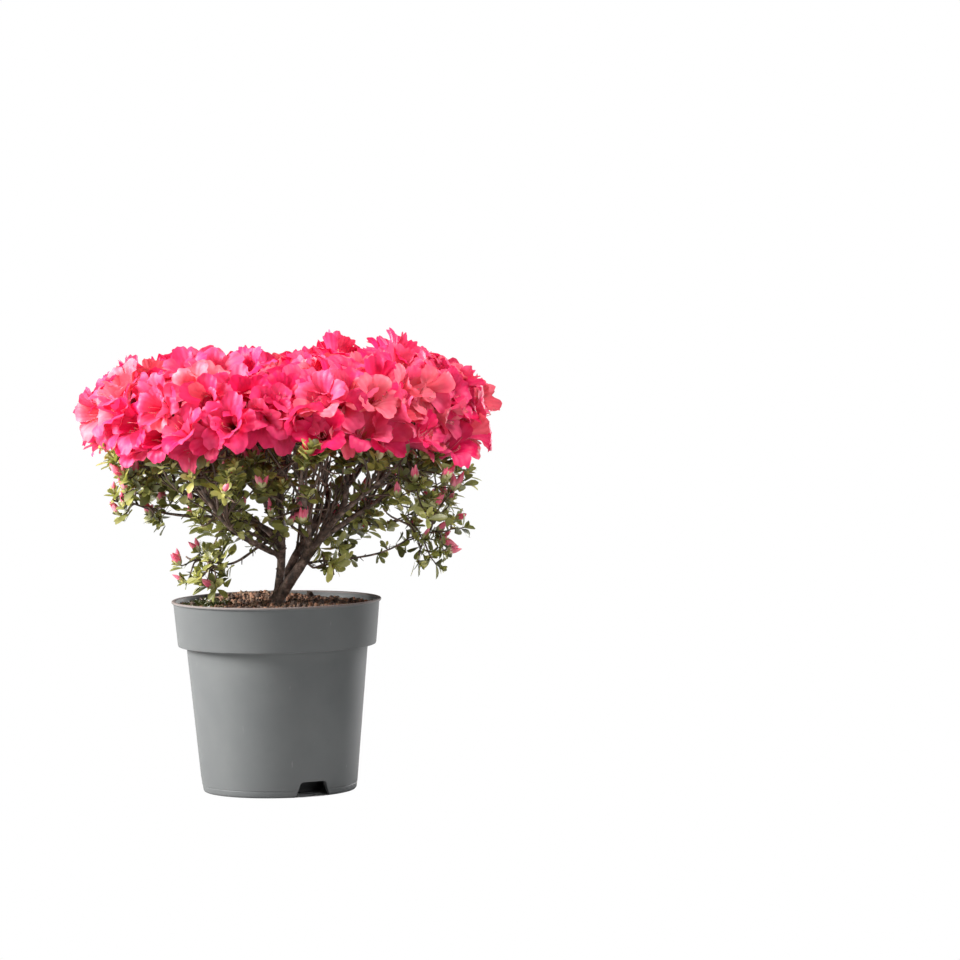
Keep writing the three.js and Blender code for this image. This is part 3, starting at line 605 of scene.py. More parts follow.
def paint_plastic_wear_and_highlight():
    """Soil dust and a painted highlight along the top of the pot's rim, and thin pale scuffs on its walls.
    """
    tree = PLASTIC.node_tree
    surface = tree.nodes["Principled BSDF"]
    place = node(tree, "TexCoord").outputs["Object"]
    height = node(tree, "SeparateXYZ", Vector=place).outputs["Z"]
    stretched = node(tree, "Mapping", Vector=place, Scale=SCUFFS.stretch)
    streaks = node(tree, "TexNoise", Vector=stretched, Scale=SCUFFS.scale / MM, Detail=3.0)
    dust_and_highlight = overlay_wear_and_highlight(tree, height, RIM_DUST_AND_HIGHLIGHT, MM, surface.inputs["Base Color"].links[0].from_socket)
    feed(surface, Base_Color=overlay_wear_and_highlight(tree, streaks, SCUFFS, 1, dust_and_highlight))


paint_plastic_wear_and_highlight()


# Bark

LIMB_SIDES = Row(stem=26, bough=16)
RING_STEP = Row(stem=0.8, bough=1.1)
COLLAR = Row(swell=0.5, reach=4.5)
RELIEF = Row(ridges=0.075, ridge_length=11, lumps=0.07, lump_length=8)
STUBS = Row(count=3, along=(0.3, 0.95), reach=(1.2, 4), radius=(0.45, 0.28), steps=5, sides=7)


def bark_relief(seed):
    ridges, lumps = Waves(seed, 0.9), Waves(seed + 1, 1.0)

    def relief(centres, angles, radii):
        run = np.concatenate([[0], np.cumsum(np.linalg.norm(np.diff(centres, axis=0), axis=1))])
        wide = round_z(1, angles[None], run[:, None])
        fine = ridges(wide / [1, 1, RELIEF.ridge_length])
        slow = lumps(wide * [0.35, 0.35, 1 / RELIEF.lump_length])
        return radii[:, None] * (RELIEF.ridges * fine + RELIEF.lumps * slow)

    return relief


def limb_shape(limb, radius_at, kind, seed, collar=False):
    length = limb.line.length
    shares = np.linspace(0, 1, max(6, int(length / RING_STEP[kind])))
    radii = np.array([radius_at(share) for share in shares])
    if collar:
        radii = radii * (1 + COLLAR.swell * np.exp(-shares * length / COLLAR.reach))
    return tube(limb.line.at(shares), radii, LIMB_SIDES[kind], bark_relief(seed))


def stem_radius(stem, share):
    above = max(0, share * stem.length - TRUNK.buried)
    return stem.radius_at(share) * (1 + TRUNK.flare * math.exp(-above / TRUNK.flare_reach))


def build_bark(stems, masses):
    """The limbs' bark, and the stubs of lost twigs on it."""
    shapes = Shapes()
    draw = default_rng(11)
    for index, stem in enumerate(stems):
        shapes.add(*limb_shape(stem, lambda share, own=stem: stem_radius(own, share), "stem", 40 + index))
    for index, mass in enumerate(masses):
        shapes.add(*limb_shape(mass, mass.radius_at, "bough", 60 + 2 * index, mass.at != 1))
    for limb in [*stems, *masses]:
        for share in draw.uniform(*STUBS.along, STUBS.count):
            at, way = limb.line.at(share), limb.line.way(share)
            out = unit(turned(unit(np.cross(way, UP)), way, draw.uniform(0, TURN)) + way * 0.7)
            radius = limb.radius_at(share)
            steps = np.linspace(0, 1, STUBS.steps)
            centres = at + out * steps[:, None] * (radius + draw.uniform(*STUBS.reach))
            shapes.add(*tube(centres, radius * mix(*STUBS.radius, steps), STUBS.sides))
    nodes = ["trunk"] + [f"stem_{stem.name}" for stem in stems]
    nodes += [f"bough_{mass.name}" for mass in masses]
    shapes.build("bark", BARK, "bark", nodes)


# Twigs

UNDER_FLOWER = 27  # how far under a flower its main twig ends
FORK_SHARES = np.array([0.35, 0.5, 0.65, 0.8, 0.95])
MAIN_TWIG = Row(radii=(0.95, 0.6), sides=6, count=9)
FINE_TWIG = Row(radii=(0.7, 0.45), sides=5, count=7)
SHORT_TWIG = Row(radii=(0.6, 0.4), sides=4, count=6)


def twig_line(start, leave, end, arrive, count=9):
    reach = np.linalg.norm(end - start) * 0.35
    return Line(bezier(start, start + leave * reach, end - arrive * reach, end, count))


def main_twigs(masses):
    """The main twigs of every mass, from its stem to near the places that they grow to."""
    draw = default_rng(17)
    for mass in masses:
        bend = unit(np.cross(mass.way, UP) + 1e-3) * draw.normal(0, 1.2)
        middle = mix(mass.foot, mass.end, 0.5) + bend
        mass.stem = Line(bezier(mass.foot, mix(mass.foot, middle, 0.7), middle, mass.end, 9))
        mass.twigs = []
        for spot in mass.spots:
            end = spot.at - unit(spot.at - HUB) * (UNDER_FLOWER if spot.flower else 0)
            straight = unit(end - spot.fork)
            leave = unit(straight + mass.way * 0.8 + draw.normal(0, 0.12, 3))
            arrive = unit(straight + UP * 0.35 + draw.normal(0, 0.15, 3))
            mass.twigs.append(twig_line(spot.fork, leave, end, arrive))


def nearest_twig(mass, at):
    """Where on a mass's main twigs a finer twig to some place leaves."""
    found = []
    for line in mass.twigs:
        away = at - line.at(FORK_SHARES)
        apart = np.linalg.norm(away, axis=1)
        ahead = np.einsum("ij,ij->i", away, line.way(FORK_SHARES)) / np.maximum(apart, 1e-6)
        cost = apart * (1.35 - 0.5 * ahead)
        found.append((cost.min(), line, FORK_SHARES[cost.argmin()]))
    return min(found, key=lambda one: one[0])[1:]


def fine_twig(mass, end, arrive, draw, from_bough=False):
    """A finer twig, from the nearest main twig or, longer, from the bough that carries the mass."""
    line, share = (mass.line, draw.uniform(0.38, 0.97)) if from_bough else nearest_twig(mass, end)
    start = line.at(share)
    leave = unit(unit(end - start) + line.way(share) * 0.7 + draw.normal(0, 0.15, 3))
    return twig_line(start, leave, end, arrive, 11 if from_bough else 7)


def add_twig(twigs, line, radii, sides, count):
    shares = np.linspace(0, 1, count)
    twigs.add(*tube(line.at(shares), mix(*radii, shares), sides))


# Flowers

PETAL_GRID = (10, 19)
THROAT_ROWS = 6
FLOWER_COUNT = 190
FLOWER_KINDS = 18
OPENNESS = (1, 0.85, 0.62, 1.02, 0.92, 0.42, 0.78, 0.97, 0.7)  # taken in turn by the kinds of flower
INNER_PETALS = (0, 4, 0, 3, 0, 0, 5, 0)  # the same
HEART_KINDS = 8
STAMENS = Row(count=6, line=((0.8, -20), (1.2, -12), (6, -6)), radius=0.2, lump=(0.42, 0.75, 0.42))
CUP = Row(along=(-25, -22.6, -20.4), radii=(0.7, 1.5, 2), sides=8, base=24)
PETAL = Row(
    root=(1.5, -21), neck=(3.6, -9), open=(11.5, 3.2, 21.2, -1.4), shut=(7, 3.4, 13, 9.5),
    half=11.3, widest_turn=0.69, short_sides=0.27, roundness=(2.1, 2.9), point=(-0.05, 0.09),
    notches=0.022, notch_waves=(5, 8.5, 13), ruffle=2.1, frill=0.6, pleat=0.3, pleats=13,
    cup=(-2.2, 3.2), furrow=1.4, overlap=0.7, curl=(-16, 18),
)


def petal_points(s, t, seed, spin, openness, reach, width):
    """A petal's points, for shares of its length and width: a strip of a funnel with a ruffled end."""
    p = PETAL
    draw = default_rng(seed)
    swing, rise, tip, tip_rise = [mix(shut, wide, openness) for shut, wide in zip(p.shut, p.open)]
    tip_rise = tip_rise + draw.normal(0, 1.2)
    length = s * (1 - p.short_sides * np.abs(t) ** draw.uniform(*p.roundness))
    length = length * (1 + draw.uniform(*p.point) * np.exp(-((t / 0.16) ** 2)))
    for waves in p.notch_waves:
        length = length * (1 + p.notches * np.sin(t * waves + draw.uniform(0, TURN)))
    curve = bezier(*np.array([p.root, p.neck, (swing, rise), (tip * reach, tip_rise)]), 60)
    radius, height = [np.interp(length, np.linspace(0, 1, len(curve)), curve[:, k]) for k in (0, 1)]
    full, most = radius * p.widest_turn, p.half * width
    half = full * most / (full**6 + most**6) ** (1 / 6)
    angle = spin + t * half / radius
    x, z = radius * np.cos(angle), radius * np.sin(angle)
    flat = np.stack([x, z, length * 0], axis=-1)
    edge = np.abs(t) ** 1.7 * np.clip(length * 1.7 - 0.5, 0, 1) + np.clip(length - 0.72, 0, 1) * 2.2
    lift = edge * (p.ruffle * Waves(seed, 13, 6)(flat) + p.frill * Waves(seed + 7, 5, 6)(flat))
    lift = lift + p.pleat * length * np.cos(t * p.pleats + draw.uniform(0, TURN)) * (1 - t**4)
    lift = lift + draw.uniform(*p.cup) * t**2 * length**1.5
    lift = lift - p.furrow * np.exp(-((t / 0.2) ** 2)) * length * (1 - length)
    lift = lift + p.overlap * t * np.clip(length * 2.5 - 0.6, 0, 1)
    lift = lift - draw.uniform(*p.curl) * np.maximum(length - 0.6, 0) ** 2
    return np.stack([x, height + lift, z], axis=-1)


def flower_shape(seed, openness, inner):
    """A flower's petals, one grid of points each, and the sleeve of throat inside them: its brownish tint
    is the throat's own, its darkness partly painted shade of the funnel's depth.
    """
    rows, columns = PETAL_GRID
    s = np.linspace(0, 1, rows)[:, None] ** 0.9 * np.ones(columns)
    t = np.ones(rows)[:, None] * np.linspace(-1, 1, columns)
    low = t[:THROAT_ROWS]
    sleeve = s[:THROAT_ROWS] / s[THROAT_ROWS - 1] * 0.3 * (1 - 0.5 * np.abs(low) ** 1.2)
    draw = default_rng(seed)
    petals, throat = [], Shapes()
    for k in range(5):
        spin = TURN / 4 + k * TURN / 5 + draw.normal(0, 0.05)
        lean = openness - 0.13 * sin(spin) + draw.normal(0, 0.08)
        sizes = (seed * 20 + k, spin, lean, draw.uniform(0.94, 1.05), draw.uniform(0.94, 1.08))
        petals.append(petal_points(s, t, *sizes).reshape(-1, 3))
        inside = petal_points(sleeve, low, *sizes)
        inside = inside - unit(inside * [1, 0, 1]) * 0.2 + [0, 0.14, 0]
        throat.add(inside, grid_faces(THROAT_ROWS, columns))
    for k in range(inner):
        spin = TURN / 4 + (k + 0.5) * TURN / 5 + draw.normal(0, 0.15)
        lean = openness * 0.45 - draw.uniform(0.05, 0.25)
        sizes = (seed * 20 + 10 + k, spin, lean, draw.uniform(0.74, 0.9), draw.uniform(0.6, 0.8))
        petals.append(petal_points(s, t, *sizes).reshape(-1, 3))
    return petals, throat.whole()


def heart_shape(seed):
    """The threads of a flower's stamens and pistil, and the lumps at their tips. The pistil is last."""
    threads, anthers = Shapes(), Shapes()
    draw = default_rng(seed)
    lump, lump_faces = lump_shape(4, 5)
    for k in range(STAMENS.count):
        pistil = k == STAMENS.count - 1
        angle = -TURN / 4 + draw.normal(0, 0.7)
        out = np.array([cos(angle), 0, sin(angle)])
        tip = out * draw.uniform(2.5, 6) + [0, draw.uniform(-4, 1.5) + (4 if pistil else 0), 0]
        bends = [out * reach + [0, along, 0] for reach, along in STAMENS.line]
        threads.add(*tube(bezier(*bends, tip, 8), np.full(8, STAMENS.radius), 4))
        anthers.add(lump * STAMENS.lump * (0.8 if pistil else 1) + tip, lump_faces)
    return threads.whole(), anthers.whole()


def lump_shape(rings, sides):
    """A small closed lump, round and one unit in radius."""
    angles = np.clip(np.arange(rings + 1) / rings * math.pi, 0.08, math.pi - 0.08)[:, None]
    points = round_y(np.sin(angles), np.arange(sides) * TURN / sides, np.cos(angles))
    return points.reshape(-1, 3), grid_faces(rings + 1, sides, closed=True)


# How the flowers stand on the crown. The pairs of lists say how much, against where along X: how far
# flowers on top are sunk, how far the lowest ones are tucked up, and by how many shades petals are
# painted paler: painted light that brightens the crown's far right, where the lamps light it less, and
# its far left, where the key light is strongest and deep petals would turn magenta.
FLOWER_STEPS = Row(swing=(-8, 3.5), side=3.5, scatter=2, tilt=0.26)
TOP_SINK = ((-140, -60, 0, 60, 110), (11, 12, 7, 10, 4))
UNDER_TUCK = ((-140, -105, -85, -60, 0, 70, 110), (20, 20, 0, 6, 30, 30, 0))
PAINTED_PALING = ((-140, -70, 60, 125), (0.3, 0, 0, 0.6))


def flower_places(masses):
    """Where the flowers stand on the crown and which way they face, by the rule of its surface."""
    steps = FLOWER_STEPS
    draw = default_rng(23)
    places = []
    for k, angle in enumerate(crown_angles(FLOWER_COUNT)):
        at, facing = crown_surface(angle, k * GOLDEN_TURN)
        top, under = max(0, facing[2]), max(0, -facing[2])
        out = draw.uniform(*steps.swing) + steps.side * math.hypot(*facing[:2])
        at = at + facing * out + draw.normal(0, steps.scatter, 3)
        at = at + UP * (np.interp(at[0], *UNDER_TUCK) * under - np.interp(at[0], *TOP_SINK) * top**0.7)
        facing = unit(facing + UP * (0.22 + 0.6 * under) + draw.normal(0, steps.tilt, 3))
        places.append((at, facing, nearest_mass(masses, at)))
    return places


def build_flowers(masses, twigs, leaves):
    draw = default_rng(31)
    places = flower_places(masses)
    kinds = [flower_shape(100 + k, openness, inner) for k, openness, inner in zip(
        range(FLOWER_KINDS), cycle(OPENNESS), cycle(INNER_PETALS))]
    hearts = [heart_shape(200 + k) for k in range(HEART_KINDS)]
    petal_pieces = [Shapes() for _ in PETALS]
    throats, stamens, anthers, cups = [Shapes() for _ in range(4)]
    cup = tube([(0, along, 0) for along in CUP.along], CUP.radii, CUP.sides)
    facings = np.array([facing for _, facing, _ in places])
    frames = frames_for(facings, UP, draw.normal(0, 0.6, len(places)))
    sizes = draw.uniform(0.92, 1.06, len(places))
    faces = grid_faces(*PETAL_GRID)
    for (at, facing, mass), own_frame, size in zip(places, frames, sizes):
        petals, throat = kinds[draw.integers(FLOWER_KINDS)]
        # Each flower's tone is random, plus the painted paling along X, a painted light on the crown's
        # sides.
        tone = draw.normal(1.45, 0.75) + np.interp(at[0], *PAINTED_PALING)
        where = ((own_frame * size)[None], at[None])
        for k, petal in enumerate(petals):
            # Inner upright petals are painted half a shade paler: a painted highlight for the light that
            # falls on them from above.
            shade = round(tone + draw.normal(0, 0.5) + (0.5 if k > 4 else 0))
            petal_pieces[min(max(shade, 0), 3)].copies(petal, faces, *where)
        threads, lumps = hearts[draw.integers(HEART_KINDS)]
        for shapes, shape in ((throats, throat), (stamens, threads), (anthers, lumps), (cups, cup)):
            shapes.copies(*shape, *where)
        low = draw.uniform() < 0.5
        line = fine_twig(mass, at - facing * CUP.base * size, facing, draw, low)
        add_twig(twigs, line, (1.1 if low else 0.85, 0.6), 5, 11 if low else 7)
        for back in (5, 11):
            share = max(0.3, 1 - back / line.length)
            leaf_whorl(leaves, line.at(share), line.way(share), draw, 4, (8, 13), SHADES.under)
    pieces = [(f"petals_{name}", PETALS[name], shapes) for name, shapes in zip(PETALS, petal_pieces)]
    pieces += [
        ("petal_throats", THROAT_TINT_AND_SHADE, throats), ("stamens", STAMEN, stamens), ("anthers", ANTHER, anthers),
        ("flower_cups", SHOOT, cups)]
    for name, look, shapes in pieces:
        shapes.build(name, look, "blossom_and_leaves")


# Leaves and buds

LEAF_ROWS = ((0, 0.022), (0.14, 0.08), (0.38, 0.19), (0.66, 0.25), (0.88, 0.18), (1, 0.02))
LEAF_KINDS = 6
BUD_KINDS = 5
BUD_GRID = (12, 15)
CROWN_SHOOTS = Row(
    count=310, reach=0.96, inner_low=212, edge=0.55, high=244, depth_rise=26,
    bud_edge=0.5, edge_buds=0.42, inner_buds=0.08,
)
SPRAY_SHOOTS = Row(reach=(0.5, 0.95), shape=(1, 1, 0.85), buds=0.45)
THIN = Row(along=(-14, 8, 74, 92), kept=(1, 0.16, 0.16, 1), below=238)  # where leafy shoots are few
STEM_TWIGS = Row(count=110, along=(0.4, 0.98), top=(208, 246), radii=(1.15, 0.45))
LIMB_SHOOTS = [  # how many, and between which corners on the limbs
    (13, (-30, -60, 180), (4, 40, 206)), (11, (30, -60, 163), (84, 40, 190)),
    (7, (-36, -60, 190), (-8, 40, 214)), (9, (58, -60, 186), (100, 40, 214)),
]
FRONT_TUFTS = [(27, -132, 242), (36, -131, 246), (31, -136, 249)]  # tips of shoots before the flowers
LEAF_EDGE = (  # how low the crown's leafy shoots reach, along X
    (-140, -120, -108, -96, -80, -62, -45, 0, 60, 100, 125, 145),
    (264, 254, 228, 200, 216, 228, 200, 184, 180, 186, 182, 188))
SHADES = Row(
    dull=("old", "dark", "dark", "green"), bright=("dark", "green", "green", "fresh"),
    limb=("dark", "dark", "green", "fresh"), tuft=("dark", "green", "dark", "fresh"),
    lowest=("green", "fresh", "green"), tip=("fresh", "green", "fresh"),
    lower=("old", "dark", "green"), under=("dark", "old", "green"),
)


def leaf_shape(seed):
    """A small leaf of unit length along Y, folded along its midrib, with its face towards Z."""
    draw = default_rng(seed)
    along, half = np.array(LEAF_ROWS).T[:, :, None]
    x = np.array([-1, 0, 1]) * half * draw.uniform(0.86, 1.08)
    fold, droop, twist = draw.uniform(0.05, 0.4), draw.uniform(-0.05, 0.3), draw.uniform(-0.25, 0.25)
    z = np.abs(x) * fold - droop * along**2 + x * twist * along
    points = np.stack(np.broadcast_arrays(x, along, z), axis=-1)
    return points.reshape(-1, 3), grid_faces(len(LEAF_ROWS), 3)


LEAF_SHAPES = [leaf_shape(300 + k) for k in range(LEAF_KINDS)]


def leaf_whorl(leaves, tip, along, draw, count, lengths, shades, spread=(72, 34)):
    """Leaves round the end of a twig: each a turn and a step above the last, and more upright."""
    spin = draw.uniform(0, TURN)
    side = across(along)
    for i in range(count):
        up = i / max(1, count - 1)
        lean = radians(mix(*spread, up) + draw.normal(0, 9))
        way = unit(along * cos(lean) + turned(side, along, spin + i * GOLDEN_TURN) * sin(lean))
        foot = tip - along * (1 - up) * count * 0.7
        length = mix(lengths[1], lengths[0], up) * draw.uniform(0.85, 1.15)
        shade = shades[draw.integers(len(shades))]
        leaves[shade].append((foot, way, along, length, draw.integers(LEAF_KINDS), draw.normal(0, 0.35)))


def build_leaves(leaves):
    for shade, own in leaves.items():
        shapes = Shapes()
        for kind, (points, faces) in enumerate(LEAF_SHAPES):
            some = [leaf for leaf in own if leaf[4] == kind]
            feet, ways, facings, lengths, _, spins = [np.array(values) for values in zip(*some)]
            shapes.copies(points, faces, frames_for(ways, facings, spins) * lengths[:, None, None], feet)
        shapes.build(f"leaves_{shade}", LEAVES[shade], "leaves_and_buds")


def bud_shape(seed):
    """A pointed bud of furled petals, from the origin along Y, and its cup of bracts."""
    draw = default_rng(seed)
    length, girth = draw.uniform(11.5, 16), draw.uniform(2, 2.8)
    rows, sides = BUD_GRID
    s = np.linspace(0.02, 1, rows)[:, None]
    angles = np.arange(sides)[None] * TURN / sides
    body = np.interp(s, [0, 0.15, 0.42, 0.7, 0.9, 1], [0.5, 0.82, 1, 0.72, 0.28, 0.03])
    furl = angles + s * draw.uniform(1.2, 2.4)
    radius = girth * body * (1 + 0.13 * np.cos(5 * furl) * np.interp(s, [0, 0.3, 1], [0, 1, 1]))
    points = round_y(radius, angles, s * length)
    points[:, :, 0] += draw.uniform(-2, 2) * s**2
    bracts = Shapes()
    s = np.linspace(0, 1, 5)[:, None]
    half = np.interp(s, [0, 0.45, 0.8, 1], [0.5, 0.62, 0.4, 0.04])
    reach = girth * np.interp(s, [0, 0.4, 1], [0.55, 0.98, 1.02]) + 0.25
    for k in range(6):
        high = s * length * draw.uniform(0.42, 0.6) - 0.8
        bracts.add(round_y(reach, k * TURN / 6 + np.array([-1, 0, 1]) * half, high), grid_faces(5, 3))
    return (points.reshape(-1, 3), grid_faces(rows, sides, closed=True)), bracts.whole()


def crown_shoots(masses, draw):
    """Where the leafy shoots under the flowers end, each with its mass, chance of buds and droop."""
    shoots, spots = CROWN_SHOOTS, []
    for _ in range(shoots.count):
        out = sqrt(draw.uniform(0, 1)) * shoots.reach
        heading = draw.uniform(0, TURN)
        at = crown_place(out, heading, 0)
        low = np.interp(at[0], *LEAF_EDGE) + shoots.depth_rise * (out * sin(heading)) ** 2
        if out < shoots.edge:
            low = max(low, shoots.inner_low)
        at[2] = mix(low, max(low, shoots.high), draw.uniform(0, 1) ** 0.8)
        kept = np.interp(at[0], THIN.along, THIN.kept) if at[2] < THIN.below else 1
        if draw.uniform() <= kept:
            outer = out > shoots.bud_edge and at[2] < shoots.high
            spots.append((at, nearest_mass(masses, at), shoots["edge_buds" if outer else "inner_buds"], 0))
    return spots


def spray_shoots(masses, draw):
    """The same for the shoots round the low sprays."""
    shoots, spots = SPRAY_SHOOTS, []
    for mass in masses:
        buds = 0 if mass.name == "spray_under_right" else shoots.buds
        for k in range(mass.get("shoots", 0)):
            way = ball_way(k, mass.shoots, k * GOLDEN_TURN + draw.normal(0, 0.3)) * shoots.shape
            at = mass.heart + way * mass.reach * draw.uniform(*shoots.reach) + mass.shift
            spots.append((at, mass, buds, mass.droop))
    return spots


def build_foliage(masses):
    """Leafy shoots under the flowers and round the low sprays, with buds at the ends of some."""
    draw = default_rng(47)
    leaves = {shade: [] for shade in LEAVES}
    twigs, buds, bracts = Shapes(), Shapes(), Shapes()
    kinds = [bud_shape(400 + k) for k in range(BUD_KINDS)]
    spots = crown_shoots(masses, draw) + spray_shoots(masses, draw)
    for mass in masses:
        add_twig(twigs, mass.stem, (mass.radius[1], mass.radius[1] * 0.85), 9, 9)
        for line in mass.twigs:
            add_twig(twigs, line, **MAIN_TWIG)
    for at, mass, bud_share, droop in spots:
        arrive = unit(unit(at - HUB) + UP * (0.5 - droop) + draw.normal(0, 0.3, 3))
        line = fine_twig(mass, at, arrive, draw, mass.flowers and draw.uniform() < 0.3)
        add_twig(twigs, line, **FINE_TWIG)
        shades, lengths = SHADES["dull" if draw.uniform() < 0.65 else "bright"], (6, 12.5)
        if mass.name == "spray_under_right":
            shades, lengths = SHADES.lowest, (11, 15)
        leaf_whorl(leaves, at, arrive, draw, int(draw.integers(6, 10)), lengths, shades)
        if line.length > 16:
            leaf_whorl(leaves, line.at(0.6), line.way(0.6), draw, 3, (8, 12), SHADES.lower, (70, 55))
        if draw.uniform() < bud_share:
            for _ in range(draw.choice([1, 1, 2, 3])):
                petals, cup = kinds[draw.integers(BUD_KINDS)]
                way = unit(arrive * 0.6 + UP * 0.55 + draw.normal(0, 0.28, 3))
                own = frames_for(way[None], UP, draw.uniform(0, TURN, 1)) * draw.uniform(0.6, 1.05)
                buds.copies(*petals, own, at[None] + way)
                bracts.copies(*cup, own, at[None] + way)
        leaf_whorl(leaves, at + arrive * 1.5, arrive, draw, 4, (4, 7), SHADES.tip, (46, 20))
    stem_twigs(masses, twigs, draw)
    limb_shoots(masses, leaves, twigs, draw)
    front_tufts(masses, leaves, twigs, draw)
    return leaves, twigs, buds, bracts


def stem_twigs(masses, twigs, draw):
    """Long thin twigs that fan up from the stems and boughs to the flowers over the middle."""
    sizes = STEM_TWIGS
    carriers = list({mass.parent.name: mass.parent for mass in masses}.values())
    carriers += [mass for mass in masses if mass.flowers]
    for k in range(sizes.count):
        limb = carriers[k % len(carriers)].line
        share = draw.uniform(*sizes.along)
        start = limb.at(share)
        out = unit(start - HUB) * LEVEL
        end = start + out * draw.uniform(4, 34) + draw.normal(0, 7, 3) * LEVEL
        end[2] = draw.uniform(*sizes.top)
        if end[2] < start[2] + 12:
            continue
        leave = unit(limb.way(share) + UP * 0.6 + draw.normal(0, 0.2, 3))
        line = twig_line(start, leave, end, unit(UP + out * 0.35 + draw.normal(0, 0.2, 3)), 11)
        add_twig(twigs, line, sizes.radii, 5, 13)
        for fork in draw.uniform(0.45, 0.85, 2):
            foot, way = line.at(fork), line.way(fork)
            tip = foot + unit(way + draw.normal(0, 0.5, 3)) * draw.uniform(10, 22)
            add_twig(twigs, twig_line(foot, way, tip, UP, 6), **SHORT_TWIG)


def limb_shoots(masses, leaves, twigs, draw):
    """Short leafy shoots on the lower parts of the boughs that cross the middle."""
    for count, low, high in LIMB_SHOOTS:
        grown = 0
        while grown < count:
            line = masses[draw.integers(len(masses))].line
            share = draw.uniform(0.05, 0.85)
            start = line.at(share)
            if np.any(start < low) or np.any(start > high):
                continue
            grown += 1
            way = unit(line.way(share) * 0.5 + draw.normal(0, 0.6, 3) - UP * 0.3)
            tip = start + way * draw.uniform(4, 9)
            add_twig(twigs, twig_line(start, line.way(share), tip, way, 6), **SHORT_TWIG)
            leaf_whorl(leaves, tip, way, draw, int(draw.integers(4, 7)), (5, 9.5), SHADES.limb)


def front_tufts(masses, leaves, twigs, draw):
    """Fresh upright shoots that stand before the lowest flowers of the front."""
    for tip in np.array(FRONT_TUFTS, dtype=float):
        way = unit(UP + [0.1, -0.35, 0] + draw.normal(0, 0.12, 3))
        add_twig(twigs, fine_twig(nearest_mass(masses, tip), tip, way, draw), **FINE_TWIG)
        for step in (0, 3.5):
            leaf_whorl(leaves, tip + way * step, way, draw, 9, (8, 13), SHADES.tuft, (60, 25))


# Pot and soil

POT = Row(
    height=137, rim=75.25, lip=1.1, lip_height=2, band_top=73.9, band_foot_radius=71.2, band_foot=104.6,
    body_top=64.8, foot=55.2, foot_width=2.6, wall=1.6, dish=31, channel=12, sides=160,
)
NOTCH = Row(count=3, height=11, top=19, foot=27, heading=-62, corner=3.2)
AXIS = 0.01  # the radius to which lathed shapes close at their axis
FOOT_LINE = (  # the foot's round corner and the line above it: how far out from the foot, and how high
    (-1.4, 0), (-0.65, 0.3), (-0.15, 0.9), (0.15, 1.9), (0.47, 4.3), (0.49, 4.55), (0.4, 4.7),
    (0.42, 4.95), (0.7, 5.2))
BODY_FOOT = 5.5
BODY_RINGS = (9, 12.5, 14.5, 18, 28, 45, 62, 79, 93)  # heights of the rings between the foot and the band
SHARP_ANGLE = 40


def pot_profile():
    """The pot's outline from the middle of its underside, round its rim, to the middle of its floor."""
    foot, dish, channel, wall = POT.foot, POT.dish, POT.channel, POT.wall
    inner = foot - POT.foot_width
    body, ledge, band, band_top = POT.body_top, POT.band_foot, POT.band_foot_radius, POT.band_top
    rim, top, lip = POT.rim, POT.height, POT.height - POT.lip_height
    mouth = rim - POT.lip - wall
    slope = ((BODY_FOOT, ledge - 1.6), (foot + 0.75, body + 0.2))
    return np.array([
        (AXIS, 0), (dish - 1, 0), (dish, 0.8), (dish + 1.5, channel - 1.5), (dish + 3, channel),
        (inner - 3, channel), (inner - 1.5, channel - 1.5), (inner, 0.5), (inner + 0.5, 0),
        *[(foot + out, z) for out, z in FOOT_LINE], *[(np.interp(z, *slope), z) for z in BODY_RINGS],
        (body + 0.2, ledge - 1.6), (body + 0.7, ledge - 0.7), (band - 1.2, ledge - 0.35),
        (band - 0.35, ledge), (band, ledge + 1), (band_top, lip - 0.5), (band_top + 0.25, lip),
        (rim - 0.25, lip + 0.35),
        (rim, lip + 0.8), (rim, top - 0.5), (rim - 0.4, top - 0.05), (rim - 0.9, top), (mouth + 0.5, top),
        (mouth, top - 0.5), (band - wall, ledge + wall + 1), (body - wall, ledge - 2),
        (foot - wall + 1.5, channel + wall), (dish + 0.7, channel + wall), (dish - wall, wall),
        (AXIS, wall),
    ])


def close_mesh(mesh, *rings):
    """Fills some rings of a mesh's points, and turns its faces outward."""
    shape = bmesh.new()
    shape.from_mesh(mesh)
    shape.verts.ensure_lookup_table()
    for ring in rings:
        shape.faces.new([shape.verts[k] for k in ring])
    bmesh.ops.recalc_face_normals(shape, faces=shape.faces)
    shape.to_mesh(mesh)
    shape.free()


def notch_cutter(heading):
    """A block in the shape of a drain notch with round upper corners, across the foot ring."""
    low, high, corner = NOTCH.foot / 2, NOTCH.top / 2, NOTCH.corner
    side = [(low + 2, -2), (low, 0.01)]
    for angle in np.linspace(math.pi / 2, 0, 6):
        side.append((high + 1.2 - corner * (1 - sin(angle)), NOTCH.height - corner * (1 - cos(angle))))
    outline = side + [(-x, z) for x, z in reversed(side)]
    ends = (POT.foot - POT.foot_width - 4, POT.foot + 4)
    points = np.array([(reach, x, z) for reach, (x, z) in product(ends, outline)])
    count = len(outline)
    faces = [tuple(range(count)), tuple(range(2 * count - 1, count - 1, -1))]
    faces += [(k, k + count, (k + 1) % count + count, (k + 1) % count) for k in range(count)]
    spin = np.array([(cos(heading), sin(heading), 0), (-sin(heading), cos(heading), 0), (0, 0, 1)])
    mesh = bpy.data.meshes.new("notch")
    mesh.from_pydata((points @ spin * MM).tolist(), [], faces)
    close_mesh(mesh)
    return add_object("notch", mesh)


